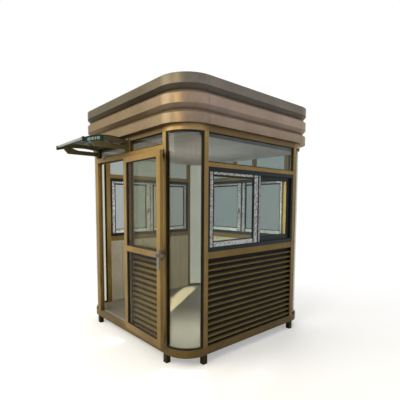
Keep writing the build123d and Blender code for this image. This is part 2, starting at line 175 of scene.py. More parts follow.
def solids_of(node: str, into: Matrix) -> list[Limits]:
    """The boxes of a node's separate solids in other coordinates.

    Args:
        node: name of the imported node.
        into: matrix from the row frame to those coordinates.

    Returns:
        One box for each solid, sorted by its lowest corner.
    """
    mesh = bmesh.new()
    mesh.from_mesh(frame["nodes"][node].data)
    bmesh.ops.remove_doubles(mesh, verts=mesh.verts, dist=MERGE_DISTANCE)
    seen: set[bmesh.types.BMVert] = set()
    boxes = []
    for start in mesh.verts:
        if start in seen:
            continue
        seen.add(start)
        queue, members = [start], []
        while queue:
            vertex = queue.pop()
            members.append(into @ vertex.co)
            for edge in vertex.link_edges:
                other = edge.other_vert(vertex)
                if other not in seen:
                    seen.add(other)
                    queue.append(other)
        boxes.append(limits_of(members))
    mesh.free()
    return sorted(boxes, key=lambda box: box.order)


class Plan:
    """Places that the added pieces share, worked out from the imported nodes."""

    def __init__(self) -> None:
        """Read every place from the frame."""
        base = node_limits("base_beam")
        roof = node_limits("roof_cap")
        mullion = node_limits("front_mullion")
        self.centre = Vector((base.middle.x, base.middle.y, 0.0))
        self.half = base.size.x / 2
        self.window = node_limits("rear_window_frame")
        self.bay_half = self.window.high.x
        self.post_width = node_limits("ceiling").low.x + self.half
        self.flat_half = self.bay_half + self.post_width
        self.corner_radius = self.half - self.flat_half
        self.inner = self.half - self.post_width
        self.base_top = base.high.z
        self.roof_top = roof.high.z
        self.roof_half = roof.size.x / 2
        self.ceiling_bottom = node_limits("ceiling").low.z
        self.door_left = node_limits("strike_plate").high.x
        self.door_right = mullion.low.x
        self.mullion_right = mullion.high.x
        self.header_bottom = mullion.high.z
        self.header_top = node_limits("canopy_bracket_left").low.z
        joint = next(item for item in frame["joints"] if item["name"] == "door_swing")
        self.pivot = Vector(joint["pos_m"])
        self.open_angle = math.radians(joint["range_deg"][1])

    def wall(self, side: Side = Side.FRONT) -> Matrix:
        """The matrix from a wall's (u, d, z) to the row frame."""
        turn = Matrix.Rotation(math.radians(side.value), 4, "Z")
        return Matrix.Translation(self.centre) @ turn @ Matrix.Translation((0, -self.half, 0))

    def solids(self, node: str, side: Side = Side.FRONT) -> list[Limits]:
        """The boxes of a node's solids in a wall's coordinates."""
        return solids_of(node, self.wall(side).inverted())

    @property
    def level(self) -> Matrix:
        """The matrix from coordinates about the booth's middle to the row frame."""
        return Matrix.Translation(self.centre)

    @property
    def leaf(self) -> Matrix:
        """The matrix from the closed door's coordinates, the front wall's, to the leaf at rest."""
        opening = Matrix.Rotation(self.open_angle, 4, "Z")
        return Matrix.Translation(self.pivot) @ opening @ Matrix.Translation(-self.pivot) @ self.wall()


@lru_cache(maxsize=None)
def booth_plan() -> Plan:
    """The booth's plan, read from the frame once."""
    return Plan()


# --- node trees
class Graph:
    """Adds and joins the nodes of one node tree."""

    def __init__(self, tree: bpy.types.NodeTree) -> None:
        """Work in one node tree."""
        self.tree = tree

    def feed(self, socket: Socket, value: SocketOr) -> None:
        """Link a socket's input, or set its constant.

        Args:
            socket: the input.
            value: the socket to link it to, or the constant. A colour may leave out its alpha.
        """
        if isinstance(value, bpy.types.NodeSocket):
            self.tree.links.new(value, socket)
            return
        if hasattr(value, "__len__") and len(value) == 3 and len(socket.default_value) == 4:
            value = (*value, 1.0)
        socket.default_value = value

    def add(self, kind: str, inputs: Optional[dict] = None, **settings: object) -> bpy.types.Node:
        """Add one node.

        Args:
            kind: the node's Blender type.
            inputs: values or sockets for its inputs, by name or place.
            settings: the node's own properties.

        Returns:
            The new node.
        """
        node = self.tree.nodes.new(kind)
        for name, value in settings.items():
            setattr(node, name, value)
        for key, value in (inputs or {}).items():
            self.feed(node.inputs[key], value)
        return node

    def math(self, operation: str, first: SocketOr, second: SocketOr = 0.0) -> Socket:
        """A result of two numbers."""
        return self.add("ShaderNodeMath", {0: first, 1: second}, operation=operation).outputs[0]

    def times(self, first: SocketOr, second: SocketOr) -> Socket:
        """The product of two numbers."""
        return self.math("MULTIPLY", first, second)

    def less(self, first: SocketOr, second: SocketOr) -> Socket:
        """The first number less the second."""
        return self.math("SUBTRACT", first, second)

    def larger(self, first: SocketOr, second: SocketOr) -> Socket:
        """The larger of two numbers."""
        return self.math("MAXIMUM", first, second)

    def distance(self, first: SocketOr, second: SocketOr) -> Socket:
        """How far two numbers lie apart."""
        return self.math("ABSOLUTE", self.less(first, second))

    def mix(self, factor: SocketOr, first: SocketOr, second: SocketOr) -> Socket:
        """A blend from a first colour to a second."""
        inputs = {0: factor, 6: first, 7: second}
        return self.add("ShaderNodeMix", inputs, data_type="RGBA", blend_type="MIX").outputs[2]

    def remap(self, value: SocketOr, low: float, high: float, to_low: float = 0.0,
              to_high: float = 1.0) -> Socket:
        """A number carried from one range to another and held inside it."""
        inputs = {0: value, 1: low, 2: high, 3: to_low, 4: to_high}
        return self.add("ShaderNodeMapRange", inputs, clamp=True).outputs[0]

    def noise(self, vector: SocketOr, scale: SocketOr, detail: float = 3.0, roughness: float = 0.5) -> Socket:
        """A cloud pattern from 0 to 1."""
        inputs = {"Vector": vector, "Scale": scale, "Detail": detail, "Roughness": roughness}
        return self.add("ShaderNodeTexNoise", inputs, noise_dimensions="3D").outputs[0]

    def place(self) -> Socket:
        """The point's place in its object, which is the row frame at rest."""
        return self.add("ShaderNodeTexCoord").outputs["Object"]

    def stretch(self, vector: SocketOr, scale: Sequence[float]) -> Socket:
        """A vector with each of its parts multiplied."""
        return self.add("ShaderNodeMapping", {"Vector": vector, "Scale": scale}).outputs[0]

    def parts(self, vector: SocketOr) -> bpy.types.NodeOutputs:
        """A vector's X, Y and Z."""
        return self.add("ShaderNodeSeparateXYZ", {0: vector}).outputs

    def upward(self) -> Socket:
        """How far the surface looks up, from -1 to 1."""
        return self.parts(self.add("ShaderNodeNewGeometry").outputs["Normal"])["Z"]

    def bump(self, height: SocketOr, distance: float, strength: float,
             normal: Optional[Socket] = None) -> Socket:
        """A normal bent by a height.

        Args:
            height: the height.
            distance: how far a height of 1 stands up.
            strength: the share of the effect.
            normal: the normal to bend, by default the surface's.

        Returns:
            The bent normal.
        """
        inputs = {"Height": height, "Distance": distance, "Strength": strength}
        if normal is not None:
            inputs["Normal"] = normal
        return self.add("ShaderNodeBump", inputs).outputs[0]

    def seen(self) -> Socket:
        """1 on a ray from the camera and on what it becomes at gloss or glass, 0 on light's own rays."""
        path = self.add("ShaderNodeLightPath").outputs
        direct = self.larger(path["Is Camera Ray"], path["Is Glossy Ray"])
        return self.larger(direct, path["Is Transmission Ray"])

    def principled(self, inputs: dict) -> Socket:
        """A Principled shader with the given inputs."""
        return self.add("ShaderNodeBsdfPrincipled", inputs).outputs[0]


class Effect:
    """One shared node group, built when it is first placed."""

    built: dict[str, bpy.types.NodeTree] = {}

    def __init__(self, name: str, inputs: dict[str, float], outputs: dict[str, str],
                 fill: Callable[[Graph, GroupInputs, GroupOutputs], None]) -> None:
        """Describe a group.

        Args:
            name: the group's name.
            inputs: names of its number inputs, with their defaults.
            outputs: names of its outputs, with Float, Color or Vector.
            fill: adds the nodes between its input and output sockets.
        """
        self.name, self.inputs, self.outputs, self.fill = name, inputs, outputs, fill

    def tree(self) -> bpy.types.NodeTree:
        """The group's node tree.

        Returns:
            The same tree each time.
        """
        if self.name not in Effect.built:
            tree = bpy.data.node_groups.new(self.name, "ShaderNodeTree")
            for name, default in self.inputs.items():
                socket = tree.interface.new_socket(name=name, in_out="INPUT", socket_type="NodeSocketFloat")
                socket.default_value = default
            for name, kind in self.outputs.items():
                tree.interface.new_socket(name=name, in_out="OUTPUT", socket_type=f"NodeSocket{kind}")
            graph = Graph(tree)
            self.fill(graph, graph.add("NodeGroupInput").outputs, graph.add("NodeGroupOutput").inputs)
            Effect.built[self.name] = tree
        return Effect.built[self.name]

    def put(self, graph: Graph, **values: SocketOr) -> bpy.types.NodeOutputs:
        """Place the group in a material.

        Args:
            graph: the material's graph.
            values: the group's inputs.

        Returns:
            The group's outputs.
        """
        return graph.add("ShaderNodeGroup", values, node_tree=self.tree()).outputs


def fill_mottle(graph: Graph, given: GroupInputs, out: GroupOutputs) -> None:
    """Two sizes of cloud, for a colour that is never quite even.

    Args:
        graph: the group's graph.
        given: Scale, how many large clouds there are to a metre.
        out: Mask, both clouds, and Fine, the small one alone.
    """
    fineness, large_share = 9.0, 0.65
    place = graph.place()
    large = graph.noise(place, given["Scale"], 4.0)
    small = graph.noise(place, graph.times(given["Scale"], fineness), 3.0)
    both = graph.math("ADD", graph.times(large, large_share), graph.times(small, 1.0 - large_share))
    graph.feed(out["Mask"], graph.remap(both, 0.36, 0.64))
    graph.feed(out["Fine"], small)


def fill_edge(graph: Graph, given: GroupInputs, out: GroupOutputs) -> None:
    """Edges that are slightly rounded and rubbed, from how far a rounded normal leans off the face.

    Args:
        graph: the group's graph.
        given: Radius, the rounding's.
        out: Mask, where the edge is rubbed, and Normal, rounded.
    """
    rounded = graph.add("ShaderNodeBevel", {"Radius": given["Radius"]}, samples=4).outputs[0]
    true_normal = graph.add("ShaderNodeNewGeometry").outputs["Normal"]
    agreement = graph.add("ShaderNodeVectorMath", {0: rounded, 1: true_normal}, operation="DOT_PRODUCT")
    lean = graph.less(1.0, agreement.outputs["Value"])
    broken = graph.noise(graph.place(), 38.0, 3.0)
    graph.feed(out["Mask"], graph.times(graph.remap(lean, 0.01, 0.16), graph.remap(broken, 0.35, 0.62)))
    graph.feed(out["Normal"], rounded)


def fill_dust(graph: Graph, given: GroupInputs, out: GroupOutputs) -> None:
    """Dust that settles where a face looks up.

    Args:
        graph: the group's graph.
        given: Amount, the most dust there is.
        out: Mask, the dust.
    """
    settled = graph.remap(graph.upward(), 0.35, 0.95)
    patches = graph.remap(graph.noise(graph.place(), 7.0, 5.0, 0.6), 0.3, 0.7, 0.35, 1.0)
    graph.feed(out["Mask"], graph.times(graph.times(settled, patches), given["Amount"]))


def fill_underside(graph: Graph, given: GroupInputs, out: GroupOutputs) -> None:
    """Faces that look down, darkened as painted shade.

    Args:
        graph: the group's graph.
        given: Amount, the mask on a face that looks straight down.
        out: Mask, how much of that a face has.
    """
    downward = graph.remap(graph.times(graph.upward(), -1.0), 0.15, 0.45)
    graph.feed(out["Mask"], graph.times(downward, given["Amount"]))


def fill_streaks(graph: Graph, given: GroupInputs, out: GroupOutputs) -> None:
    """Faint upright runs that rain leaves on a wall.

    Args:
        graph: the group's graph.
        given: Amount, the strongest run.
        out: Mask, the runs.
    """
    runs = graph.noise(graph.stretch(graph.place(), (42.0, 42.0, 1.1)), 1.0, 3.0, 0.55)
    breaks = graph.remap(graph.noise(graph.place(), 2.6, 2.0), 0.35, 0.65)
    graph.feed(out["Mask"], graph.times(graph.times(graph.remap(runs, 0.5, 0.72), breaks), given["Amount"]))


def fill_ground_darkening(graph: Graph, given: GroupInputs, out: GroupOutputs) -> None:
    """Darker towards the ground, with an uneven upper edge: dirt, and on the metal coats painted shade as
    well.

    Args:
        graph: the group's graph.
        given: Height, how far up it reaches, and Amount, the mask at the ground.
        out: Mask, the darkening.
    """
    place = graph.place()
    wander = graph.less(graph.noise(place, 3.2, 4.0), 0.5)
    height = graph.math("ADD", graph.parts(place)["Z"], graph.times(wander, given["Height"]))
    depth = graph.math("DIVIDE", height, given["Height"])
    fade = graph.math("POWER", graph.remap(depth, 0.0, 1.0, 1.0, 0.0), 1.4)
    graph.feed(out["Mask"], graph.times(fade, given["Amount"]))


def fill_recess_shade(graph: Graph, given: GroupInputs, out: GroupOutputs) -> None:
    """Painted shade where other faces stand close.

    Args:
        graph: the group's graph.
        given: Reach, how close they stand, and Amount, the mask in the deepest recess.
        out: Mask, the painted shade.
    """
    hidden = graph.add("ShaderNodeAmbientOcclusion", {"Distance": given["Reach"]}, samples=8)
    closed = graph.less(1.0, hidden.outputs["AO"])
    graph.feed(out["Mask"], graph.times(graph.remap(closed, 0.10, 0.62), given["Amount"]))


def fill_brushed(graph: Graph, given: GroupInputs, out: GroupOutputs) -> None:
    """Fine parallel scratches that run upright.

    Args:
        graph: the group's graph.
        given: Scale, how many scratches there are to a metre.
        out: Height, of the scratches, and Mask, the same with more contrast.
    """
    lines = graph.noise(graph.stretch(graph.place(), (1.0, 1.0, 0.02)), given["Scale"], 4.0, 0.6)
    graph.feed(out["Height"], lines)
    graph.feed(out["Mask"], graph.remap(lines, 0.35, 0.65))


def fill_lengths(graph: Graph, given: GroupInputs, out: GroupOutputs) -> None:
    """Where straight lengths run between rounded corners, and the thin joints at their ends.

    Args:
        graph: the group's graph.
        given: Middle, the booth's middle along Y, and Reach, from a wall's middle to where its corners start.
        out: Joint, the joints, and Straight, the straight lengths.
    """
    parts = graph.parts(graph.place())
    joints, straights = [], []
    for part, middle in ((parts["X"], 0.0), (parts["Y"], given["Middle"])):
        beyond = graph.less(graph.distance(part, middle), given["Reach"])
        joints.append(graph.remap(graph.math("ABSOLUTE", beyond), 0.0012, 0.0028, 1.0, 0.0))
        straights.append(graph.remap(beyond, -0.06, 0.03, 1.0, 0.0))
    graph.feed(out["Joint"], graph.larger(*joints))
    graph.feed(out["Straight"], graph.larger(*straights))


MOTTLE = Effect("Mottle", {"Scale": 4.0}, {"Mask": "Float", "Fine": "Float"}, fill_mottle)
EDGE = Effect("Rubbed edge", {"Radius": 0.0015}, {"Mask": "Float", "Normal": "Vector"}, fill_edge)
DUST = Effect("Settled dust", {"Amount": 0.3}, {"Mask": "Float"}, fill_dust)
UNDERSIDE = Effect("Underside shade", {"Amount": 0.5}, {"Mask": "Float"}, fill_underside)
STREAKS = Effect("Rain streaks", {"Amount": 0.3}, {"Mask": "Float"}, fill_streaks)
GROUND_DARKENING = Effect("Ground darkening", {"Height": 1.0, "Amount": 0.5}, {"Mask": "Float"}, fill_ground_darkening)
RECESS_SHADE = Effect("Recess shade", {"Reach": 0.08, "Amount": 0.6}, {"Mask": "Float"}, fill_recess_shade)
BRUSHED = Effect("Brushed grain", {"Scale": 900.0}, {"Height": "Float", "Mask": "Float"}, fill_brushed)
LENGTHS = Effect("Straight lengths", {"Middle": 0.0, "Reach": 0.7}, {"Joint": "Float", "Straight": "Float"},
                 fill_lengths)


# --- finishes
def scaled(colour: Colour, factor: float) -> Colour:
    """A colour made lighter or darker by a factor."""
    return tuple(factor * value for value in colour)


@dataclass(frozen=True)
class Finish:
    """A named finish that makes its material once."""

    name: str

    def material(self) -> bpy.types.Material:
        """The finish as a material.

        Returns:
            The same material each time.
        """
        made = bpy.data.materials.get(self.name)
        if made is None:
            made = bpy.data.materials.new(self.name)
            made.use_nodes = True
            made.node_tree.nodes.clear()
            graph = Graph(made.node_tree)
            graph.add("ShaderNodeOutputMaterial", {"Surface": self.shader(graph)})
        return made

    def shader(self, graph: Graph) -> Socket:
        """Add the finish's nodes and return its shader socket."""
        raise NotImplementedError


@dataclass(frozen=True)
class CoatedMetal(Finish):
    """Painted or anodised metal with a soft sheen, rubbed edges, dust, streaks, and dirt and painted shade
    near the ground and in recesses.
    """

    base: Colour
    dark: Colour
    rubbed: Colour
    metallic: float = 0.35
    roughness: float = 0.36
    specular: float = 0.2
    mottle_scale: float = 3.0
    mottle_low: float = 0.86
    mottle_high: float = 1.12
    streaks: float = 0.25
    # Darkening towards the ground: dirt, and painted shade where less light reaches low down.
    ground_darkening: float = 0.45
    ground_darkening_height: float = 1.3
    # Painted shade where other faces stand close, and how far it reaches.
    recess: float = 0.5
    recess_shade_reach: float = 0.06
    # Painted shade on faces that look down.
    underside_shade: float = 0.0
    edge_radius: float = 0.0016
    edge_wear: float = 0.55
    dust: float = 0.25
    dust_colour: Colour = (0.36, 0.33, 0.27)
    dust_roughness: float = 0.35
    joint_dirt: float = 0.0
    # Painted shade along the straight lengths, where an overhang shades them.
    straight_shade: float = 0.0
    skin_scale: float = 420.0
    skin_depth: float = 0.0004

    def shader(self, graph: Graph) -> Socket:
        """Layer the colour from the coat outwards.

        Args:
            graph: the material's graph.

        Returns:
            The shader.
        """
        mottle = MOTTLE.put(graph, Scale=self.mottle_scale)
        edge = EDGE.put(graph, Radius=self.edge_radius)
        streak = STREAKS.put(graph, Amount=self.streaks)["Mask"]
        ground_darkening = GROUND_DARKENING.put(graph, Height=self.ground_darkening_height, Amount=self.ground_darkening)["Mask"]
        recess = RECESS_SHADE.put(graph, Reach=self.recess_shade_reach, Amount=self.recess)["Mask"]
        dust = DUST.put(graph, Amount=self.dust)["Mask"]
        coat = scaled(self.base, self.mottle_low), scaled(self.base, self.mottle_high)
        colour = graph.mix(mottle["Mask"], *coat)
        colour = graph.mix(streak, colour, self.dark)
        # Painted shade: darker towards the ground, where it is also dirt, and in recesses.
        colour = graph.mix(graph.larger(ground_darkening, recess), colour, self.dark)
        # Painted shade on faces that look down.
        if self.underside_shade:
            underside_shade = UNDERSIDE.put(graph, Amount=self.underside_shade)["Mask"]
            colour = graph.mix(underside_shade, colour, scaled(self.dark, 0.5))
        colour = graph.mix(graph.times(edge["Mask"], self.edge_wear), colour, self.rubbed)
        colour = graph.mix(dust, colour, self.dust_colour)
        # Dark joints, and painted shade along the straight lengths.
        for output, amount in (("Joint", self.joint_dirt), ("Straight", self.straight_shade)):
            if amount:
                plan = booth_plan()
                mask = LENGTHS.put(graph, Middle=plan.centre.y, Reach=plan.flat_half)[output]
                colour = graph.mix(graph.times(mask, amount), colour, self.dark)
        gloss = graph.remap(mottle["Fine"], 0.3, 0.7, self.roughness - 0.05, self.roughness + 0.07)
        skin = graph.noise(graph.place(), self.skin_scale, 2.0)
        return graph.principled({
            "Base Color": colour,
            "Roughness": graph.math("ADD", gloss, graph.times(dust, self.dust_roughness)),
            "Metallic": self.metallic,
            "Normal": graph.bump(skin, self.skin_depth, 0.10, edge["Normal"]),
            "Specular IOR Level": self.specular,
            "Specular Tint": tuple(math.sqrt(value) for value in self.rubbed),
        })


@dataclass(frozen=True)
class BrushedMetal(Finish):
    """Bare brushed metal with an upright grain."""

    base: Colour
    roughness: float = 0.32
    metallic: float = 0.85
    grain_scale: float = 900.0
    grain_depth: float = 0.0003
    low_tone: float = 0.78
    edge_radius: float = 0.0008

    def shader(self, graph: Graph) -> Socket:
        """Vary colour and gloss along the grain.

        Args:
            graph: the material's graph.

        Returns:
            The shader.
        """
        grain = BRUSHED.put(graph, Scale=self.grain_scale)
        mottle = MOTTLE.put(graph, Scale=14.0)
        edge = EDGE.put(graph, Radius=self.edge_radius)
        low = scaled(self.base, self.low_tone)
        colour = graph.mix(grain["Mask"], low, self.base)
        return graph.principled({
            "Base Color": graph.mix(graph.times(mottle["Mask"], 0.25), colour, low),
            "Roughness": graph.remap(grain["Mask"], 0.0, 1.0, self.roughness - 0.08, self.roughness + 0.1),
            "Metallic": self.metallic,
            "Normal": graph.bump(grain["Height"], self.grain_depth, 0.12, edge["Normal"]),
        })


@dataclass(frozen=True)
class Glass(Finish):
    """A pane that tints what is behind it and lets light through to the room."""

    tint: Colour
    shadow: Colour = (0.85, 0.88, 0.86)
    ior: float = 1.25
    roughness: float = 0.0
    smear: float = 0.0
    waviness: float = 0.007
    streaks: float = 0.3
    dirt: float = 0.74
    foot_dirt: float = 0.25
    foot_dirt_height: float = 0.6

    def shader(self, graph: Graph) -> Socket:
        """Tinted glass, with dirt at its foot and rain runs, that casts only a light shadow.

        Args:
            graph: the material's graph.

        Returns:
            The shader.
        """
        mottle = MOTTLE.put(graph, Scale=5.0)
        ground_darkening = GROUND_DARKENING.put(graph, Height=self.foot_dirt_height, Amount=self.foot_dirt)["Mask"]
        streak = STREAKS.put(graph, Amount=self.streaks)["Mask"]
        dirty = scaled(self.tint, self.dirt)
        colour = graph.mix(graph.times(mottle["Mask"], 0.22), self.tint, dirty)
        roughness: SocketOr = self.roughness
        if self.smear:
            smears = graph.noise(graph.place(), 9.0, 5.0, 0.65)
            roughness = graph.remap(smears, 0.45, 0.8, self.roughness, self.roughness + self.smear)
        pane = graph.principled({
            "Base Color": graph.mix(graph.larger(ground_darkening, streak), colour, dirty),
            "Roughness": roughness,
            "Normal": graph.bump(graph.noise(graph.place(), 2.4, 1.0), 0.02, self.waviness),
            "IOR": self.ior,
            "Transmission Weight": 1.0,
        })
        clear = graph.add("ShaderNodeBsdfTransparent", {"Color": self.shadow}).outputs[0]
        shadow_ray = graph.add("ShaderNodeLightPath").outputs["Is Shadow Ray"]
        return graph.add("ShaderNodeMixShader", {0: shadow_ray, 1: pane, 2: clear}).outputs[0]


@dataclass(frozen=True)
class Moulded(Finish):
    """Rubber or plastic with a fine pebbled skin."""

    base: Colour
    pale: Colour
    roughness: float = 0.6
    specular: float = 0.25
    pebble_scale: float = 700.0
    pebble_depth: float = 0.0003
    pebble_strength: float = 0.12
    edge_radius: float = 0.0007
    edge_wear: float = 0.3
    dust: float = 0.3
    dust_colour: Colour = (0.30, 0.28, 0.24)

    def shader(self, graph: Graph) -> Socket:
        """Vary the colour a little and roughen the skin.

        Args:
            graph: the material's graph.

        Returns:
            The shader.
        """
        mottle = MOTTLE.put(graph, Scale=9.0)
        edge = EDGE.put(graph, Radius=self.edge_radius)
        dust = DUST.put(graph, Amount=self.dust)["Mask"]
        colour = graph.mix(mottle["Mask"], self.base, self.pale)
        colour = graph.mix(graph.times(edge["Mask"], self.edge_wear), colour, self.pale)
        skin = graph.noise(graph.place(), self.pebble_scale, 2.0)
        return graph.principled({
            "Base Color": graph.mix(dust, colour, self.dust_colour),
            "Roughness": graph.remap(mottle["Fine"], 0.3, 0.7, self.roughness - 0.06, self.roughness + 0.08),
            "Normal": graph.bump(skin, self.pebble_depth, self.pebble_strength, edge["Normal"]),
            "Specular IOR Level": self.specular,
        })


@dataclass(frozen=True)
class WallBoard(Finish):
    """Pale inside board in upright widths, with a plain dark back and edge that are painted shade."""

    base: Colour
    shade: Colour
    back: Colour
    shaded_back_from: float
    width: float = 0.35
    joint_shade: float = 0.55
    specular: float = 0.12
    skin_scale: float = 240.0
    skin_depth: float = 0.0006

    def shader(self, graph: Graph) -> Socket:
        """Draw the joints between widths and darken what lies further out than a set distance, as painted
        shade.

        Args:
            graph: the material's graph.

        Returns:
            The shader.
        """
        place = graph.place()
        parts = graph.parts(place)
        mottle = MOTTLE.put(graph, Scale=2.2)
        ground_darkening = GROUND_DARKENING.put(graph, Height=0.5, Amount=0.4)["Mask"]
        colour = graph.mix(mottle["Mask"], self.shade, self.base)
        colour = graph.mix(ground_darkening, colour, self.shade)
        joints, reaches = [], []
        for part, middle in ((parts["X"], 0.0), (parts["Y"], booth_plan().centre.y)):
            along = graph.less(part, middle)
            turn = graph.math("FRACT", graph.math("DIVIDE", along, self.width))
            joints.append(graph.remap(graph.distance(turn, 0.5), 0.006, 0.012, 1.0, 0.0))
            reaches.append(graph.math("ABSOLUTE", along))
        joint = graph.larger(*joints)
        colour = graph.mix(graph.times(joint, self.joint_shade), colour, self.back)
        # Painted shade: the back and outer edge are dark where they show through gaps.
        outside = graph.remap(graph.larger(*reaches), self.shaded_back_from, self.shaded_back_from + 0.002)
        skin = graph.noise(place, self.skin_scale, 3.0)
        return graph.principled({
            "Base Color": graph.mix(outside, colour, self.back),
            "Roughness": graph.remap(mottle["Fine"], 0.3, 0.7, 0.48, 0.62),
            "Normal": graph.bump(graph.less(skin, joint), self.skin_depth, 0.18),
            "Specular IOR Level": self.specular,
        })


@dataclass(frozen=True)
class FloorPlanks(Finish):
    """Vinyl flooring printed as wood planks."""

    light: Colour
    dark: Colour
    joint_colour: Colour = (0.02, 0.018, 0.014)
    plank_length: float = 1.2
    plank_width: float = 0.15
    joint_width: float = 0.0016
    grain_share: float = 0.6
    specular: float = 0.3

    def shader(self, graph: Graph) -> Socket:
        """Planks with a joint line, a tone each and a grain along them.

        Args:
            graph: the material's graph.

        Returns:
            The shader.
        """
        place = graph.place()
        planks = graph.add("ShaderNodeTexBrick", {
            "Vector": place, "Color1": (0.25, 0.25, 0.25), "Color2": (0.85, 0.85, 0.85), "Mortar": BLACK,
            "Scale": 1.0, "Mortar Size": self.joint_width, "Mortar Smooth": 0.2,
            "Brick Width": self.plank_length, "Row Height": self.plank_width,
        }, offset=0.37)
        joint = planks.outputs["Fac"]
        grain = graph.noise(graph.stretch(place, (3.0, 55.0, 1.0)), 1.0, 5.0, 0.6)
        tone = graph.times(planks.outputs["Color"], 1.0 - self.grain_share)
        mixed = graph.math("ADD", graph.times(grain, self.grain_share), tone)
        colour = graph.mix(graph.remap(mixed, 0.3, 0.75), self.dark, self.light)
        scuff = graph.noise(place, 6.0, 5.0, 0.65)
        height = graph.less(graph.times(grain, 0.3), joint)
        return graph.principled({
            "Base Color": graph.mix(graph.times(joint, 0.7), colour, self.joint_colour),
            "Roughness": graph.remap(scuff, 0.45, 0.7, 0.32, 0.44),
            "Normal": graph.bump(height, 0.0006, 0.3),
            "Specular IOR Level": self.specular,
        })


@dataclass(frozen=True)
class ProtectiveFilm(Finish):
    """Thin pale film left on new window profiles, crinkled and printed with plain dashes."""

    base: Colour
    faded: Colour
    first_ink: Colour
    second_ink: Colour
    cover: float = 1.0
    first_cover: float = 0.24
    second_cover: float = 0.42
    rows: float = 58.0
    breaks: float = 190.0
    crinkle_depth: float = 0.002
    coat: float = 0.7
    coat_roughness: float = 0.15

    def shader(self, graph: Graph) -> Socket:
        """Rows of broken dashes on a crinkled pale skin.

        Args:
            graph: the material's graph.

        Returns:
            The shader.
        """
        place = graph.place()
        parts = graph.parts(place)
        along = graph.math("ADD", parts["X"], parts["Y"])
        flat = graph.add("ShaderNodeCombineXYZ", {0: along, 1: parts["Z"], 2: 0.0}).outputs[0]
        cells = {"Vector": flat, "Scale": self.rows, "Randomness": 0.7}
        voronoi = graph.add("ShaderNodeTexVoronoi", cells, voronoi_dimensions="2D").outputs
        chance = graph.parts(voronoi["Color"])["X"]
        broken = graph.noise(graph.stretch(flat, (self.breaks, self.breaks, 1.0)), 1.0, 1.0)
        blob = graph.times(graph.remap(voronoi["Distance"], 0.36, 0.50, 1.0, 0.0),
                           graph.remap(broken, 0.36, 0.50))
        first = graph.math("GREATER_THAN", chance, 1.0 - self.first_cover * self.cover)
        second = graph.math("LESS_THAN", chance, self.second_cover * self.cover)
        mottle = MOTTLE.put(graph, Scale=11.0)
        colour = graph.mix(mottle["Mask"], self.faded, self.base)
        colour = graph.mix(graph.times(graph.times(blob, first), 0.92), colour, self.first_ink)
        colour = graph.mix(graph.times(graph.times(blob, second), 0.95), colour, self.second_ink)
        crinkle = graph.noise(graph.stretch(place, (70.0, 70.0, 26.0)), 1.0, 4.0, 0.6)
        return graph.principled({
            "Base Color": colour,
            "Roughness": graph.remap(mottle["Fine"], 0.3, 0.7, 0.2, 0.38),
            "Normal": graph.bump(crinkle, self.crinkle_depth, 0.35),
            "Coat Weight": self.coat,
            "Coat Roughness": self.coat_roughness,
        })


# Its darkening reaches far up: painted shade for the lower walls' weaker light, as well as dirt.
BRONZE = CoatedMetal("Golden bronze coat", base=(0.358, 0.232, 0.076), dark=(0.060, 0.040, 0.010),
                     rubbed=(0.50, 0.36, 0.16), metallic=0.3, ground_darkening_height=1.9, ground_darkening=0.6, specular=0.45)
# A lighter copy of the bronze coat as a painted highlight at the corner, with painted shade along its
# straight lengths under the roof's overhang.
BEAM_BRONZE = CoatedMetal("Top beam bronze coat", base=(0.395, 0.262, 0.098), dark=(0.060, 0.040, 0.010),
                          rubbed=(0.55, 0.39, 0.17), ground_darkening=0.0, recess=0.18, specular=0.5,
                          straight_shade=0.72)
# A darker copy of the bronze coat: painted shade on the sill rails.
SHADED_SILL_BRONZE = CoatedMetal("Shaded sill bronze coat", base=(0.245, 0.165, 0.056), dark=(0.050, 0.033, 0.010),
                          rubbed=(0.42, 0.31, 0.14), metallic=0.3, ground_darkening=0.2)
# The near-black dark colour with full recess darkening is painted shade between the slats.
LOUVER_BRONZE = CoatedMetal("Louver bronze coat", base=(0.262, 0.196, 0.083), dark=(0.008, 0.004, 0.001),
                            rubbed=(0.34, 0.27, 0.14), ground_darkening=0.2, metallic=0.15, recess=1.0, dust=0.06,
                            recess_shade_reach=0.075, specular=0.1)
# A more golden copy of the louver coat, making up for the door glass's pale reflection in front of it, with
# painted shade between the slats.
PANEL_BRONZE = CoatedMetal("Side panel bronze coat", base=(0.285, 0.195, 0.058), dark=(0.018, 0.009, 0.002),
                           rubbed=(0.40, 0.29, 0.12), ground_darkening=0.2, metallic=0.15, recess=0.9,
                           recess_shade_reach=0.07, specular=0.1)
# Its recess and underside darkening are painted shade in the grooves between the bands.
FASCIA_BRONZE = CoatedMetal("Roof bronze coat", base=(0.212, 0.155, 0.098), dark=(0.040, 0.026, 0.010),
                            rubbed=(0.50, 0.31, 0.10), ground_darkening=0.0, streaks=0.15, joint_dirt=0.7,
                            metallic=0.4, recess=0.72, recess_shade_reach=0.035, underside_shade=0.34, specular=0.6)
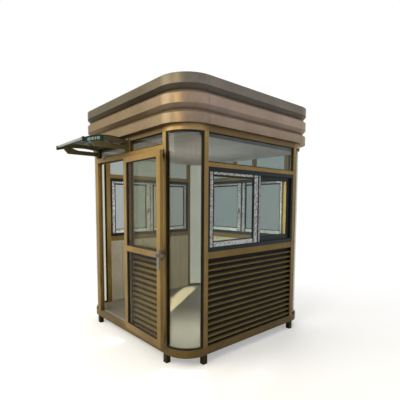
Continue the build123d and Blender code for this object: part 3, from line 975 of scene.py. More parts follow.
# A darker copy of the roof coat, as painted shade on the top band, with stronger painted shade on its
# undersides.
ROOF_TOP_BRONZE = CoatedMetal("Roof edge bronze coat", base=(0.132, 0.114, 0.080), dark=(0.040, 0.026, 0.010),
                              rubbed=(0.36, 0.29, 0.17), ground_darkening=0.0, streaks=0.15, joint_dirt=0.7,
                              metallic=0.4, recess=0.7, recess_shade_reach=0.035, underside_shade=0.62, specular=0.15)
BASE_BRONZE = CoatedMetal("Base bronze coat", base=(0.185, 0.122, 0.044), dark=(0.045, 0.028, 0.010),
                          rubbed=(0.34, 0.25, 0.12), ground_darkening_height=0.3, ground_darkening=0.5, metallic=0.25)
BRACKET_BRONZE = CoatedMetal("Dark bronze coat", base=(0.165, 0.142, 0.066), dark=(0.035, 0.028, 0.014),
                             rubbed=(0.16, 0.13, 0.08), ground_darkening=0.0, recess=0.2)
FOOT_BRONZE = CoatedMetal("Foot coat", base=(0.040, 0.029, 0.010), dark=(0.014, 0.010, 0.005),
                          rubbed=(0.11, 0.09, 0.05), ground_darkening_height=0.12, roughness=0.5, metallic=0.1)
ANTHRACITE = CoatedMetal("Anthracite coat", base=(0.020, 0.029, 0.033), dark=(0.010, 0.013, 0.015),
                         rubbed=(0.09, 0.105, 0.11), ground_darkening=0.0, streaks=0.15, dust=0.2, metallic=0.1,
                         recess=0.3, specular=0.3)
PALE_ALUMINIUM = CoatedMetal("Pale anodised coat", base=(0.29, 0.32, 0.33), dark=(0.18, 0.19, 0.18),
                             rubbed=(0.66, 0.68, 0.66), ground_darkening=0.0, metallic=0.4, roughness=0.3, recess=0.2)
STEEL = BrushedMetal("Brushed steel", base=(0.25, 0.235, 0.195))
DARK_STEEL = BrushedMetal("Dark lock steel", base=(0.085, 0.088, 0.080), roughness=0.4, metallic=0.6)
CLEAR_GLASS = Glass("Grey green glass", tint=(0.520, 0.600, 0.585))
SHADED_GLASS = Glass("Deeper grey glass", tint=(0.370, 0.410, 0.395))
CORNER_GLASS = Glass("Curved corner glass", tint=(0.56, 0.58, 0.52), ior=1.3, streaks=0.7)
FRONT_GLASS = Glass("Pale front glass", tint=(0.60, 0.62, 0.56))
DOOR_GLASS = Glass("Clear door glass", tint=(0.91, 0.90, 0.76), shadow=(0.90, 0.92, 0.88), ior=1.10)
SMOKED = Glass("Smoked sheet", tint=(0.23, 0.235, 0.21), roughness=0.10, smear=0.12, ior=1.35,
               shadow=(0.35, 0.36, 0.33))
RUBBER = Moulded("Black seal rubber", base=(0.005, 0.004, 0.002), pale=(0.012, 0.010, 0.006), dust=0.1)
BLACK_PLASTIC = Moulded("Black plastic", base=(0.014, 0.014, 0.013), pale=(0.030, 0.029, 0.027),
                        roughness=0.4)
WHITE_PLASTIC = Moulded("White plastic", base=(0.62, 0.62, 0.58), pale=(0.72, 0.72, 0.68), roughness=0.35,
                        dust=0.15)
TILE_PLASTIC = Moulded("Pale tile plastic", base=(0.48, 0.66, 0.64), pale=(0.60, 0.76, 0.74), roughness=0.4,
                       dust=0.1)
TEAL_STRIP = Moulded("Teal strip", base=(0.004, 0.070, 0.080), pale=(0.008, 0.095, 0.105), roughness=0.35,
                     pebble_scale=300.0, pebble_strength=0.05, dust=0.1)
# The near-black back is painted shade where the board shows through the louver gaps.
LINING = WallBoard("Inside wall board", base=(0.520, 0.480, 0.390), shade=(0.420, 0.385, 0.305),
                   back=(0.012, 0.010, 0.006), shaded_back_from=0.959)
CEILING = WallBoard("Ceiling board", base=(0.56, 0.51, 0.51), shade=(0.49, 0.445, 0.44),
                    back=(0.17, 0.155, 0.14), shaded_back_from=0.953, width=0.4)
FLOOR = FloorPlanks("Floor planks", light=(0.180, 0.164, 0.134), dark=(0.132, 0.120, 0.097))
FILM = ProtectiveFilm("Protective film", base=(0.88, 0.93, 0.95), faded=(0.68, 0.74, 0.78),
                      first_ink=(0.30, 0.020, 0.035), second_ink=(0.018, 0.022, 0.032))
FILM_PLAIN = ProtectiveFilm("Protective film with few marks", base=(0.88, 0.96, 0.98),
                            faded=(0.85, 0.94, 0.97), first_ink=(0.42, 0.030, 0.060),
                            second_ink=(0.12, 0.15, 0.18), cover=0.36)

FINISHED_NODES: tuple[tuple[Finish, tuple[str, ...]], ...] = (
    (BRONZE, ("corner_posts", "head_rails", "rear_transom_bars", "door_jamb", "front_mullion", "front_header",
              "door_leaf_frame")),
    (BEAM_BRONZE, ("top_beam",)),
    (SHADED_SILL_BRONZE, ("sill_rails",)),
    (LOUVER_BRONZE, ("right_louvers", "rear_louvers", "left_louvers")),
    (PANEL_BRONZE, ("side_panel_louvers",)),
    (FASCIA_BRONZE, ("roof_band_bottom", "roof_band_middle")),
    (ROOF_TOP_BRONZE, ("roof_band_top", "roof_cap")),
    (BASE_BRONZE, ("base_beam", "floor_joists")),
    (FOOT_BRONZE, ("feet",)),
    (BRACKET_BRONZE, ("canopy_bracket_left", "canopy_bracket_right")),
    (PALE_ALUMINIUM, ("canopy_rails",)),
    (ANTHRACITE, ("right_window_frame", "rear_window_frame", "left_window_frame",
                  "right_sashes", "rear_sashes", "left_sashes")),
    (CORNER_GLASS, ("corner_glass",)),
    (CLEAR_GLASS, ("right_glass",)),
    (SHADED_GLASS, ("rear_glass", "left_glass")),
    (FRONT_GLASS, ("front_glass",)),
    (DOOR_GLASS, ("door_glass",)),
    (SMOKED, ("canopy_sheet",)),
    (RUBBER, ("corner_gaskets",)),
    (FLOOR, ("floor_panel",)),
    (LINING, ("wall_linings",)),
    (CEILING, ("ceiling",)),
    (STEEL, ("hinge_plates", "door_hinges", "strike_plate", "door_handles", "door_latch")),
)


def dress_nodes() -> None:
    """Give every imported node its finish."""
    finishes = {name: finish for finish, names in FINISHED_NODES for name in names}
    for name, node in frame["nodes"].items():
        node.data.materials.clear()
        node.data.materials.append(finishes[name].material())
        log.info("%s: %s", name, finishes[name].name)


# --- meshes
def rounded_rectangle(x_range: Pair, y_range: Pair, radius: float, steps: int) -> list[Pair]:
    """The outline of a rectangle, with each corner an arc of so many steps.

    Args:
        x_range: limits along the first axis.
        y_range: limits along the second axis.
        radius: radius of the corners.
        steps: steps in each corner's arc; 0 gives plain corners.

    Returns:
        Points in order, counter-clockwise.
    """
    corners = ((x_range[1], y_range[0], -90), (x_range[1], y_range[1], 0),
               (x_range[0], y_range[1], 90), (x_range[0], y_range[0], 180))
    points = []
    for x, y, start in corners:
        if steps == 0:
            points.append((x, y))
            continue
        centre_x = x - radius if x == x_range[1] else x + radius
        centre_y = y - radius if y == y_range[1] else y + radius
        for step in range(steps + 1):
            turn = math.radians(start + 90 * step / steps)
            points.append((centre_x + radius * math.cos(turn), centre_y + radius * math.sin(turn)))
    return points


class Shape:
    """A mesh that is put together from simple solids in the coordinates of one wall or of the leaf."""

    smooth_angle = math.radians(35.0)
    screw_head = ((1.0, 0.0), (1.0, 0.12), (0.86, 0.42), (0.5, 0.58), (0.42, 0.56), (0.38, 0.2), (0.0, 0.16))

    def __init__(self, place: Matrix, body: Body = Body.BOOTH) -> None:
        """Start empty.

        Args:
            place: takes the shape's coordinates to the row frame.
            body: what the piece rides on.
        """
        self.place, self.body = place, body
        self.mesh = bmesh.new()

    def ring(self, points: Iterable[Sequence[float]]) -> list[bmesh.types.BMVert]:
        """Add the points of one ring."""
        return [self.mesh.verts.new(point) for point in points]

    def join_rings(self, first: Ring, second: Ring) -> None:
        """Add the faces between two rings of as many points."""
        for index, vertex in enumerate(first):
            following = (index + 1) % len(first)
            self.mesh.faces.new((vertex, first[following], second[following], second[index]))

    def tube(self, rings: Sequence[Ring]) -> None:
        """Join each ring to the next, and the last to the first."""
        for index, ring in enumerate(rings):
            self.join_rings(ring, rings[(index + 1) % len(rings)])

    def block(self, low: Sequence[float], high: Sequence[float], round_over: float = 0.0) -> None:
        """Add a box.

        Args:
            low: its lowest corner.
            high: its highest corner.
            round_over: how far its edges are rounded over.
        """
        low, high = Vector(low), Vector(high)
        grow = Matrix.Translation((low + high) / 2) @ Matrix.Diagonal((*(high - low), 1.0))
        made = bmesh.ops.create_cube(self.mesh, size=1.0, matrix=grow)
        if round_over > 0:
            edges = {edge for vertex in made["verts"] for edge in vertex.link_edges}
            bmesh.ops.bevel(self.mesh, geom=list(edges), offset=round_over, offset_type="OFFSET",
                            segments=2, profile=0.5, affect="EDGES", clamp_overlap=True)

    def sheet(self, outline: Sequence[Pair], low: float, high: float, axes: Matrix) -> None:
        """Add a plate with a given outline.

        Args:
            outline: corners in the plate's own plane, in order.
            low: where the plate starts along its thickness.
            high: where it ends.
            axes: takes the plate's plane and thickness to the shape's coordinates.
        """
        under, over = (self.ring(axes @ Vector((x, y, level)) for x, y in outline) for level in (low, high))
        self.mesh.faces.new(under[::-1])
        self.mesh.faces.new(over)
        self.join_rings(under, over)

    def lathe(self, profile: Section, foot: Sequence[float], axis: Vector, sides: int = 20) -> None:
        """Add a round solid.

        Args:
            profile: (radius, height) pairs from the foot's rim to the top's middle.
            foot: where the foot's middle lies.
            axis: the direction in which height runs.
            sides: how many flats stand for the round.
        """
        turn = Vector((0, 0, 1)).rotation_difference(axis).to_matrix().to_4x4()
        place = Matrix.Translation(Vector(foot)) @ turn
        round_about = [(math.cos(angle), math.sin(angle))
                       for angle in (math.tau * step / sides for step in range(sides))]
        rings = [self.ring(place @ Vector((radius * x, radius * y, height)) for x, y in round_about)
                 for radius, height in profile[:-1]]
        self.mesh.faces.new(rings[0][::-1])
        for lower, upper in zip(rings, rings[1:]):
            self.join_rings(lower, upper)
        top = self.mesh.verts.new(place @ Vector((0, 0, profile[-1][1])))
        for index, vertex in enumerate(rings[-1]):
            self.mesh.faces.new((vertex, rings[-1][(index + 1) % sides], top))

    def surround(self, u_range: Pair, z_range: Pair, section: Section, depth: float, face: Face,
                 round_corner: float = 0.0) -> None:
        """Add a closed frame of one section round a rectangle in the wall's plane.

        Args:
            u_range: the rectangle's limits along the wall.
            z_range: its height limits.
            section: the section's corners as (inwards from the rectangle, off the face).
            depth: the depth of the face that it stands on.
            face: the side that this face looks to.
            round_corner: radius of the rectangle's corners.
        """
        steps = 4 if round_corner > 0 else 0
        rings = []
        for inward, off in section:
            outline = rounded_rectangle((u_range[0] + inward, u_range[1] - inward),
                                        (z_range[0] + inward, z_range[1] - inward),
                                        max(round_corner - inward, 0.0), steps)
            rings.append(self.ring((u, depth + face.value * off, z) for u, z in outline))
        self.tube(rings)

    def line(self, pane: Limits, section: Section, *faces: Face) -> None:
        """Run one section round a pane, on the given faces of the glass."""
        for face in faces:
            self.surround(pane.u_range, pane.z_range, section, pane.depth(face), face)

    def square_tube(self, half: float, corner: float, steps: int, base: float, section: Section) -> None:
        """Add a closed level frame of one section round a square with rounded corners.

        Args:
            half: half of the square's width.
            corner: radius of its corners.
            steps: steps in each corner's arc.
            base: the height that the section stands on.
            section: the section's corners as (inwards from the square, up from the base).
        """
        rings = []
        for inset, rise in section:
            reach = (inset - half, half - inset)
            outline = rounded_rectangle(reach, reach, corner - inset, steps)
            rings.append(self.ring((x, y, base + rise) for x, y in outline))
        self.tube(rings)

    def screw(self, foot: Sequence[float], axis: Vector, radius: float) -> None:
        """Add a low domed screw head with a socket.

        Args:
            foot: where it stands.
            axis: the direction that it looks in.
            radius: the head's radius.
        """
        profile = [(across * radius, rise * radius) for across, rise in self.screw_head]
        self.lathe(profile, foot, axis, 12)

    def finish(self, name: str, finish: Finish, slot: Optional[Slot] = None) -> None:
        """Turn the shape into a piece that rides on its body.

        Args:
            name: the piece's name.
            finish: its finish.
            slot: not used.
        """
        bmesh.ops.recalc_face_normals(self.mesh, faces=self.mesh.faces)
        self.mesh.transform(self.place)
        data = bpy.data.meshes.new(name)
        self.mesh.to_mesh(data)
        self.mesh.free()
        data.shade_smooth()
        data.set_sharp_from_angle(angle=self.smooth_angle)
        data.materials.append(finish.material())
        piece = bpy.data.objects.new(name, data)
        bpy.context.scene.collection.objects.link(piece)
        body = self.body
        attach(piece, body.value)
        log.info("%s on %s: %d faces", name, body.value, len(data.polygons))


# --- sub-assemblies
@dataclass
class Assembly:
    """Pieces that belong together, with their sizes."""

    plan: Plan

    def build(self) -> None:
        """Make every piece."""
        raise NotImplementedError


@dataclass
class FixedGlazing(Assembly):
    """Seals outside and beads inside the fixed panes of the four walls."""

    seal_width: float = 0.009
    seal_rise: float = 0.007
    bead_width: float = 0.014
    bead_rise: float = 0.018

    def build(self) -> None:
        """Make the seals and the beads of each wall."""
        seal = [(0.0, 0.0), (0.0, self.seal_rise), (0.4 * self.seal_width, self.seal_rise),
                (0.8 * self.seal_width, 0.6 * self.seal_rise), (self.seal_width, 0.0)]
        bead = [(0.0, 0.0), (0.0, self.bead_rise), (0.5 * self.bead_width, self.bead_rise),
                (self.bead_width, 0.45 * self.bead_rise), (self.bead_width, 0.0)]
        for side in Side:
            seals, beads = Shape(self.plan.wall(side)), Shape(self.plan.wall(side))
            for pane in self.panes(side):
                seals.line(pane, seal, Face.OUTER)
                beads.line(pane, bead, Face.INNER)
            seals.finish(f"{side.label}_pane_seals", RUBBER, Slot.GASKET_RUBBER)
            beads.finish(f"{side.label}_glazing_beads", BRONZE, Slot.BRONZE)

    def panes(self, side: Side) -> list[Limits]:
        """The fixed panes of one wall, which are those outside its sliding window."""
        return [pane for pane in self.plan.solids(f"{side.label}_glass", side)
                if side is Side.FRONT or pane.low.z > self.plan.window.high.z]


@dataclass
class SlidingWindow(Assembly):
    """Tracks, seals, latch and left-on film of a sliding window, whose outer sash is the left one."""

    side: Side
    frame_recess: float = 0.004
    outer_stile: float = 0.055
    meeting_stile: float = 0.080
    bottom_rail: float = 0.058
    top_rail: float = 0.045
    track_inset: float = 0.003
    track_width: float = 0.009
    track_rise: float = 0.0025
    brush_width: float = 0.005
    brush_margin: float = 0.020
    latch_drop: float = 0.050
    latch_width: float = 0.022
    latch_height: float = 0.064
    latch_base: float = 0.006
    crescent_radius: float = 0.021
    crescent_thickness: float = 0.003
    film_lift: float = 0.0012
    film_wander: float = 0.0012
    film_step: float = 0.020
    film_margin: float = 0.002
    film_edge: float = 0.010
    film_width: float = 0.036

    def __post_init__(self) -> None:
        """Find the sashes and their panes."""
        self.place = self.plan.wall(self.side)
        sashes = self.plan.solids(f"{self.side.label}_sashes", self.side)
        self.outer, self.inner = sorted(sashes, key=lambda sash: sash.low.y)
        self.panes = [pane for pane in self.plan.solids(f"{self.side.label}_glass", self.side)
                      if pane.high.z < self.plan.window.high.z]

    def build(self) -> None:
        """Make the tracks, seals, latch and film."""
        self.tracks()
        self.seals()
        self.latch()
        self.film()

    def tracks(self) -> None:
        """Thin ribs of the outer frame in front of and behind the sashes."""
        shape = Shape(self.place)
        u_range = (self.outer.low.x, self.inner.high.x)
        section = [(0.0, 0.0), (0.0, self.track_rise), (self.track_width - 0.001, self.track_rise),
                   (self.track_width, 0.72 * self.track_rise), (self.track_width, 0.0)]
        front, back = self.frame_recess + self.track_inset, self.plan.post_width - self.track_inset
        shape.surround(u_range, self.outer.z_range, section, front, Face.OUTER)
        shape.surround(u_range, self.outer.z_range, section, back, Face.INNER)
        shape.finish(f"{self.side.label}_window_tracks", ANTHRACITE, Slot.WINDOW_ALUMINIUM)

    def seals(self) -> None:
        """Rubber round both faces of both sash panes, and a brush seal up the meeting stile."""
        shape = Shape(self.place)
        section = [(0.0, 0.0), (0.0, 0.0045), (0.003, 0.005), (0.007, 0.0015), (0.007, 0.0)]
        for pane in self.panes:
            shape.line(pane, section, Face.OUTER, Face.INNER)
        edge = self.outer.high.x - 0.001
        shape.block((edge - self.brush_width, self.outer.high.y, self.outer.low.z + self.brush_margin),
                    (edge, self.inner.low.y, self.outer.high.z - self.brush_margin))
        shape.finish(f"{self.side.label}_sash_seals", RUBBER, Slot.GASKET_RUBBER)

    def latch(self) -> None:
        """A crescent latch with a lever on the inside of the meeting stile."""
        shape = Shape(self.place)
        middle = self.inner.low.x + self.meeting_stile / 2
        height = self.inner.middle.z - self.latch_drop
        face, base = self.inner.high.y, self.latch_base
        half_width, half_height = self.latch_width / 2, self.latch_height / 2
        shape.block((middle - half_width, face, height - half_height),
                    (middle + half_width, face + base, height + half_height), 0.002)
        hub = [(0.010, 0.0), (0.010, 0.005), (0.008, 0.0065), (0.0, 0.0068)]
        shape.lathe(hub, (middle, face + base, height), Face.INNER.axis)
        arc = [math.radians(90 + 18 * step) for step in range(11)]
        crescent = [(self.crescent_radius * math.cos(angle), self.crescent_radius * math.sin(angle))
                    for angle in arc]
        lever = [(0.006, -0.021), (0.009, -0.048), (0.020, -0.050), (0.016, -0.015), (0.012, 0.012)]
        outline = [(middle + u, height + z) for u, z in crescent + lever]
        shape.sheet(outline, base, base + self.crescent_thickness, Face.INNER.plate_axes(face))
        for offset in (-0.025, 0.025):
            shape.screw((middle, face + base, height + offset), Face.INNER.axis, 0.0035)
        shape.finish(f"{self.side.label}_sash_latch", STEEL, Slot.HARDWARE_STEEL)

    def strip(self, shape: Shape, u_range: Pair, z_range: Pair, depth: float, face: Face,
              draw: random.Random) -> None:
        """Add one strip of film whose long edges wander and whose ends are torn.

        Args:
            shape: what the strip is added to.
            u_range: its limits along the wall.
            z_range: its height limits.
            depth: the depth of the face that it clings to.
            face: the side that this face looks to.
            draw: the source of the wander.
        """
        upright = z_range[1] - z_range[0] > u_range[1] - u_range[0]
        along, across = (z_range, u_range) if upright else (u_range, z_range)
        length = along[1] - along[0]
        count = max(3, round(length / self.film_step))
        rings = []
        for step in range(count + 1):
            at = along[0] + step / count * length
            wander = [draw.uniform(-self.film_wander, self.film_wander) for _ in range(2)]
            lift = [self.film_lift * draw.uniform(0.25, 1.0) for _ in range(3)]
            edges = (across[0] + wander[0], sum(across) / 2, across[1] + wander[1])
            spots = [(edge, at) if upright else (at, edge) for edge in edges]
            rings.append(shape.ring((u, depth + face.value * level, z)
                                    for (u, z), level in zip(spots + spots[::-1], lift + [0.0] * 3)))
        for first, second in zip(rings, rings[1:]):
            shape.join_rings(first, second)
        for end in (rings[0], rings[-1]):
            shape.mesh.faces.new(end)

    def uprights(self, sash: Limits, face: Face) -> list[Pair]:
        """Where upright strips of film run on one face of a sash.

        Args:
            sash: the sash.
            face: its outer or inner face.

        Returns:
            Limits along the wall, one pair for each strip.
        """
        left, right = sash.low.x + self.film_edge, sash.high.x - self.film_edge
        if sash is self.outer:
            return [(left, left + self.film_width), (sash.high.x - 0.062, sash.high.x - 0.008)]
        meeting = sash.low.x + self.meeting_stile
        if face is Face.OUTER:
            return [(meeting - 0.026, meeting - 0.003)]
        return [(left, meeting - 0.006), (right - self.film_width, right)]

    def film(self) -> None:
        """Strips of protective film along the stiles and rails, outside and inside."""
        shape, low_shape = Shape(self.place), Shape(self.place)
        draw = random.Random(self.side.value + 7)
        for sash, left_stile, right_stile in ((self.outer, self.outer_stile, self.meeting_stile),
                                              (self.inner, self.meeting_stile, self.outer_stile)):
            z_range = (sash.low.z + self.film_margin, sash.high.z - self.film_margin)
            across = (sash.low.x + left_stile + 0.004, sash.high.x - right_stile - 0.004)
            upper = (sash.high.z - self.top_rail + 0.012, sash.high.z - self.film_edge)
            lower = (sash.low.z + self.film_edge, sash.low.z + self.bottom_rail - 0.004)
            for face in Face:
                depth = sash.depth(face)
                for u_range in self.uprights(sash, face):
                    self.strip(shape, u_range, z_range, depth, face, draw)
                if sash is self.outer or face is Face.INNER:
                    self.strip(shape, across, upper, depth, face, draw)
                    self.strip(low_shape, across, lower, depth, face, draw)
        shape.finish(f"{self.side.label}_window_film", FILM)
        low_shape.finish(f"{self.side.label}_window_low_film", FILM_PLAIN)


@dataclass(frozen=True)
class HingeScrews:
    """Three screws up a hinge plate, the middle one further from the plate's outer edge."""

    shares: tuple[float, float, float] = (0.14, 0.5, 0.86)
    margins: tuple[float, float, float] = (0.012, 0.022, 0.012)
    plate_rise: float = 0.0025
    radius: float = 0.0042

    def add(self, shape: Shape, plate: Limits, edge: float, towards: float, face_depth: float) -> None:
        """Add the screws of one plate.

        Args:
            shape: what they are added to.
            plate: the plate with its knuckles.
            edge: where the plate's outer edge lies along the wall.
            towards: 1 or -1, the sign along the wall from that edge to the knuckles.
            face_depth: the depth of the face that the plate is fixed to.
        """
        for share, margin in zip(self.shares, self.margins):
            foot = (edge + towards * margin, face_depth - self.plate_rise, plate.up(share))
            shape.screw(foot, Face.OUTER.axis, self.radius)


@dataclass
class DoorLeaf(Assembly):
    """Seals, lock face, keyholes and screws of the swing door, drawn with the door closed."""

    seal_width: float = 0.011
    seal_rise: float = 0.009
    stile: float = 0.060
    lock_height: float = 0.100
    lock_width: float = 0.022
    lock_thickness: float = 0.0012
    bolt_clearance: float = 0.014
    handle_plate: float = 0.006
    key_height: float = 0.045
    key_rise: float = 0.0026
    key_slot: Pair = (0.0022, 0.012)
    sweep_width: float = 0.008
    sweep_height: float = 0.0025

    def __post_init__(self) -> None:
        """Find what the pieces are fixed to."""
        self.place = self.plan.leaf
        into = self.place.inverted()
        self.leaf = solids_of("door_leaf_frame", into)[0]
        self.panes = solids_of("door_glass", into)
        self.latch = solids_of("door_latch", into)[0]
        self.handles = sorted(solids_of("door_handles", into), key=lambda handle: handle.low.y)
        self.hinges = solids_of("door_hinges", into)

    def build(self) -> None:
        """Make every piece that swings with the leaf."""
        self.seals()
        self.lock_face()
        self.keyholes()
        self.handle_screws()
        self.hinge_screws()
        self.sweep()

    def seals(self) -> None:
        """A black wedge round both faces of both panes."""
        shape = Shape(self.place, Body.DOOR)
        section = [(0.0, 0.0), (0.0, self.seal_rise), (0.45 * self.seal_width, self.seal_rise),
                   (self.seal_width, 0.3 * self.seal_rise), (self.seal_width, 0.0)]
        for pane in self.panes:
            shape.line(pane, section, Face.OUTER, Face.INNER)
        shape.finish("door_pane_seals", RUBBER, Slot.GASKET_RUBBER)

    def lock_face(self) -> None:
        """The lock's narrow face let onto the leaf's free edge, with two screws."""
        shape = Shape(self.place, Body.DOOR)
        middle, height, edge = self.leaf.middle.y, self.latch.middle.z, self.leaf.low.x
        outer, half_width = edge - self.lock_thickness, self.lock_width / 2
        low, high = height - 0.45 * self.lock_height, height + 0.55 * self.lock_height
        for start, end in ((low, height - self.bolt_clearance), (height + self.bolt_clearance, high)):
            shape.block((outer, middle - half_width, start), (edge, middle + half_width, end), 0.0004)
        for level in (low + 0.012, high - 0.012):
            shape.screw((outer, middle, level), Vector((-1, 0, 0)), 0.0035)
        shape.finish("door_lock_face", DARK_STEEL, Slot.HARDWARE_STEEL)

    def on_handle_plate(self, face: Face, height: float) -> Vector:
        """A place on the middle of a handle's plate, at a height."""
        depth = self.leaf.depth(face) + face.value * self.handle_plate
        return Vector((self.leaf.low.x + self.stile / 2, depth, height))

    def keyholes(self) -> None:
        """A key cylinder with its slot below the lever, on both faces."""
        rims, slots = Shape(self.place, Body.DOOR), Shape(self.place, Body.DOOR)
        rim = [(0.0105, 0.0), (0.0105, 0.0018), (0.0090, self.key_rise), (0.0, self.key_rise)]
        for handle, face in zip(self.handles, Face):
            centre = self.on_handle_plate(face, handle.low.z + self.key_height)
            rims.lathe(rim, centre, face.axis)
            near, far = (centre.y + face.value * rise for rise in (self.key_rise, 1.15 * self.key_rise))
            half_width, half_height = self.key_slot[0] / 2, self.key_slot[1] / 2
            slots.block((centre.x - half_width, min(near, far), centre.z - half_height),
                        (centre.x + half_width, max(near, far), centre.z + half_height))
        rims.finish("door_key_cylinders", STEEL, Slot.HARDWARE_STEEL)
        slots.finish("door_key_slots", BLACK_PLASTIC)

    def handle_screws(self) -> None:
        """Two screws in each handle plate."""
        shape = Shape(self.place, Body.DOOR)
        for handle, face in zip(self.handles, Face):
            for level in (handle.low.z + 0.012, handle.high.z - 0.012):
                shape.screw(self.on_handle_plate(face, level), face.axis, 0.0042)
        shape.finish("door_handle_screws", STEEL, Slot.HARDWARE_STEEL)

    def hinge_screws(self) -> None:
        """Three screws in each hinge plate on the leaf."""
        shape = Shape(self.place, Body.DOOR)
        for hinge in self.hinges:
            HingeScrews().add(shape, hinge, hinge.low.x, 1.0, self.leaf.low.y)
        shape.finish("door_hinge_screws", STEEL, Slot.HARDWARE_STEEL)

    def sweep(self) -> None:
        """A rubber strip under the leaf."""
        shape = Shape(self.place, Body.DOOR)
        middle, half_width, bottom = self.leaf.middle.y, self.sweep_width / 2, self.leaf.low.z
        shape.block((self.leaf.low.x + 0.004, middle - half_width, bottom - self.sweep_height),
                    (self.leaf.high.x - 0.004, middle + half_width, bottom), 0.0008)
        shape.finish("door_bottom_sweep", RUBBER, Slot.GASKET_RUBBER)


@dataclass
class Doorway(Assembly):
    """Stop seals, fixed screws, threshold, call button and bolt keep of the front wall."""

    stop_width: float = 0.015
    stop_depth: float = 0.010
    seal_width: float = 0.008
    seal_rise: float = 0.0010
    strike_margin: float = 0.014
    threshold_reach: float = 0.022
    threshold_height: float = 0.003
    rib_count: int = 4
    rib_pitch: float = 0.0065
    rib_width: float = 0.0025
    rib_height: float = 0.0012
    button_size: Pair = (0.032, 0.034)
    button_from_door: float = 0.150
    button_drop: float = 0.009
    button_depth: float = 0.016
    keep_size: Pair = (0.020, 0.070)
    keep_drop: float = 0.058
    keep_rim: float = 0.004

    def build(self) -> None:
        """Make every piece that stays on the front wall."""
        self.stop_seals()
        self.fixed_screws()
        self.threshold()
        self.call_button()
        self.bolt_keep()

    def stop_seals(self) -> None:
        """Rubber beads on the stops that the closed leaf meets."""
        plan = self.plan
        shape = Shape(self.plan.wall())
        face, half = plan.post_width - self.stop_depth, self.seal_width / 2
        u, z = plan.door_left + self.stop_width / 2, plan.header_bottom - self.stop_width / 2
        shape.block((u - half, face - self.seal_rise, plan.base_top + 0.004),
                    (u + half, face, plan.header_bottom - 0.004), 0.0012)
        shape.block((u + 0.010, face - self.seal_rise, z - half),
                    (plan.door_right - 0.010, face, z + half), 0.0012)
        shape.finish("door_stop_seals", RUBBER, Slot.GASKET_RUBBER)

    def fixed_screws(self) -> None:
        """Screws of the fixed hinge plates and of the strike plate."""
        shape = Shape(self.plan.wall())
        for hinge in self.plan.solids("hinge_plates"):
            HingeScrews().add(shape, hinge, hinge.high.x, -1.0, 0.0)
        strike = self.plan.solids("strike_plate")[0]
        for level in (strike.low.z + self.strike_margin, strike.high.z - self.strike_margin):
            shape.screw((strike.high.x, strike.middle.y, level), Vector((1, 0, 0)), 0.0035)
        shape.finish("doorway_screws", STEEL, Slot.HARDWARE_STEEL)

    def threshold(self) -> None:
        """A low ribbed strip over the sill inside the closed leaf."""
        plan = self.plan
        shape = Shape(self.plan.wall())
        left, right = plan.door_left + self.stop_width + 0.001, plan.door_right - 0.001
        start, end = plan.post_width - self.stop_depth, plan.post_width + self.threshold_reach
        top = plan.base_top + self.threshold_height
        shape.block((left, start, plan.base_top), (right, end, top), 0.001)
        for step in range(self.rib_count):
            rib = start + 0.005 + step * self.rib_pitch
            shape.block((left + 0.004, rib, top),
                        (right - 0.004, rib + self.rib_width, top + self.rib_height), 0.0005)
        shape.finish("door_threshold", PALE_ALUMINIUM, Slot.RAIL_ALUMINIUM)

    def call_button(self) -> None:
        """A small white call unit on the door header."""
        shape = Shape(self.plan.wall())
        half_width, half_height = self.button_size[0] / 2, self.button_size[1] / 2
        middle = self.plan.door_left + self.button_from_door + half_width
        height = self.plan.header_top - self.button_drop
        step = 0.625 * self.button_depth
        for inset, low, high in ((0.0, 0.0, step), (0.003, step, self.button_depth)):
            reach_u, reach_z = half_width - inset, half_height - inset
            outline = rounded_rectangle((middle - reach_u, middle + reach_u),
                                        (height - reach_z, height + reach_z), 0.006, 5)
            shape.sheet(outline, low, high, Face.OUTER.plate_axes(0.0))
        dome = [(0.010, 0.0), (0.010, 0.003), (0.0085, 0.0042), (0.0, 0.0044)]
        shape.lathe(dome, (middle, -self.button_depth, height), Face.OUTER.axis)
        shape.finish("header_call_button", WHITE_PLASTIC)

    def bolt_keep(self) -> None:
        """A black keep for the top bolt on the post beside the open leaf's edge."""
        shape = Shape(self.plan.wall())
        left, low = self.plan.bay_half + 0.008, self.plan.header_bottom - self.keep_drop
        right, high = left + self.keep_size[0], low + self.keep_size[1]
        section = [(0.0, 0.0), (0.0, 0.002), (0.004, 0.003), (0.006, 0.001), (0.006, 0.0)]
        shape.surround((left, right), (low, high), section, 0.0, Face.OUTER, 0.006)
        rim = self.keep_rim
        shape.block((left + rim, -0.0008, low + rim), (right - rim, 0.0, high - rim))
        shape.finish("post_slot_plate", BLACK_PLASTIC)


@dataclass
class Louvers(Assembly):
    """Fixing screws down the louver stiles."""

    stile: float = 0.009
    recess: float = 0.004
    screw_radius: float = 0.0032
    screw_shares: tuple[float, ...] = (0.04, 0.35, 0.65, 0.96)

    def build(self) -> None:
        """Make the screws of each louvered panel."""
        for side in Side:
            node = "side_panel_louvers" if side is Side.FRONT else f"{side.label}_louvers"
            panel = self.plan.solids(node, side)[0]
            shape = Shape(self.plan.wall(side))
            for u in (panel.low.x + self.stile / 2, panel.high.x - self.stile / 2):
                for share in self.screw_shares:
                    shape.screw((u, self.recess, panel.up(share)), Face.OUTER.axis, self.screw_radius)
            shape.finish(f"{side.label}_louver_screws", LOUVER_BRONZE, Slot.BRONZE)


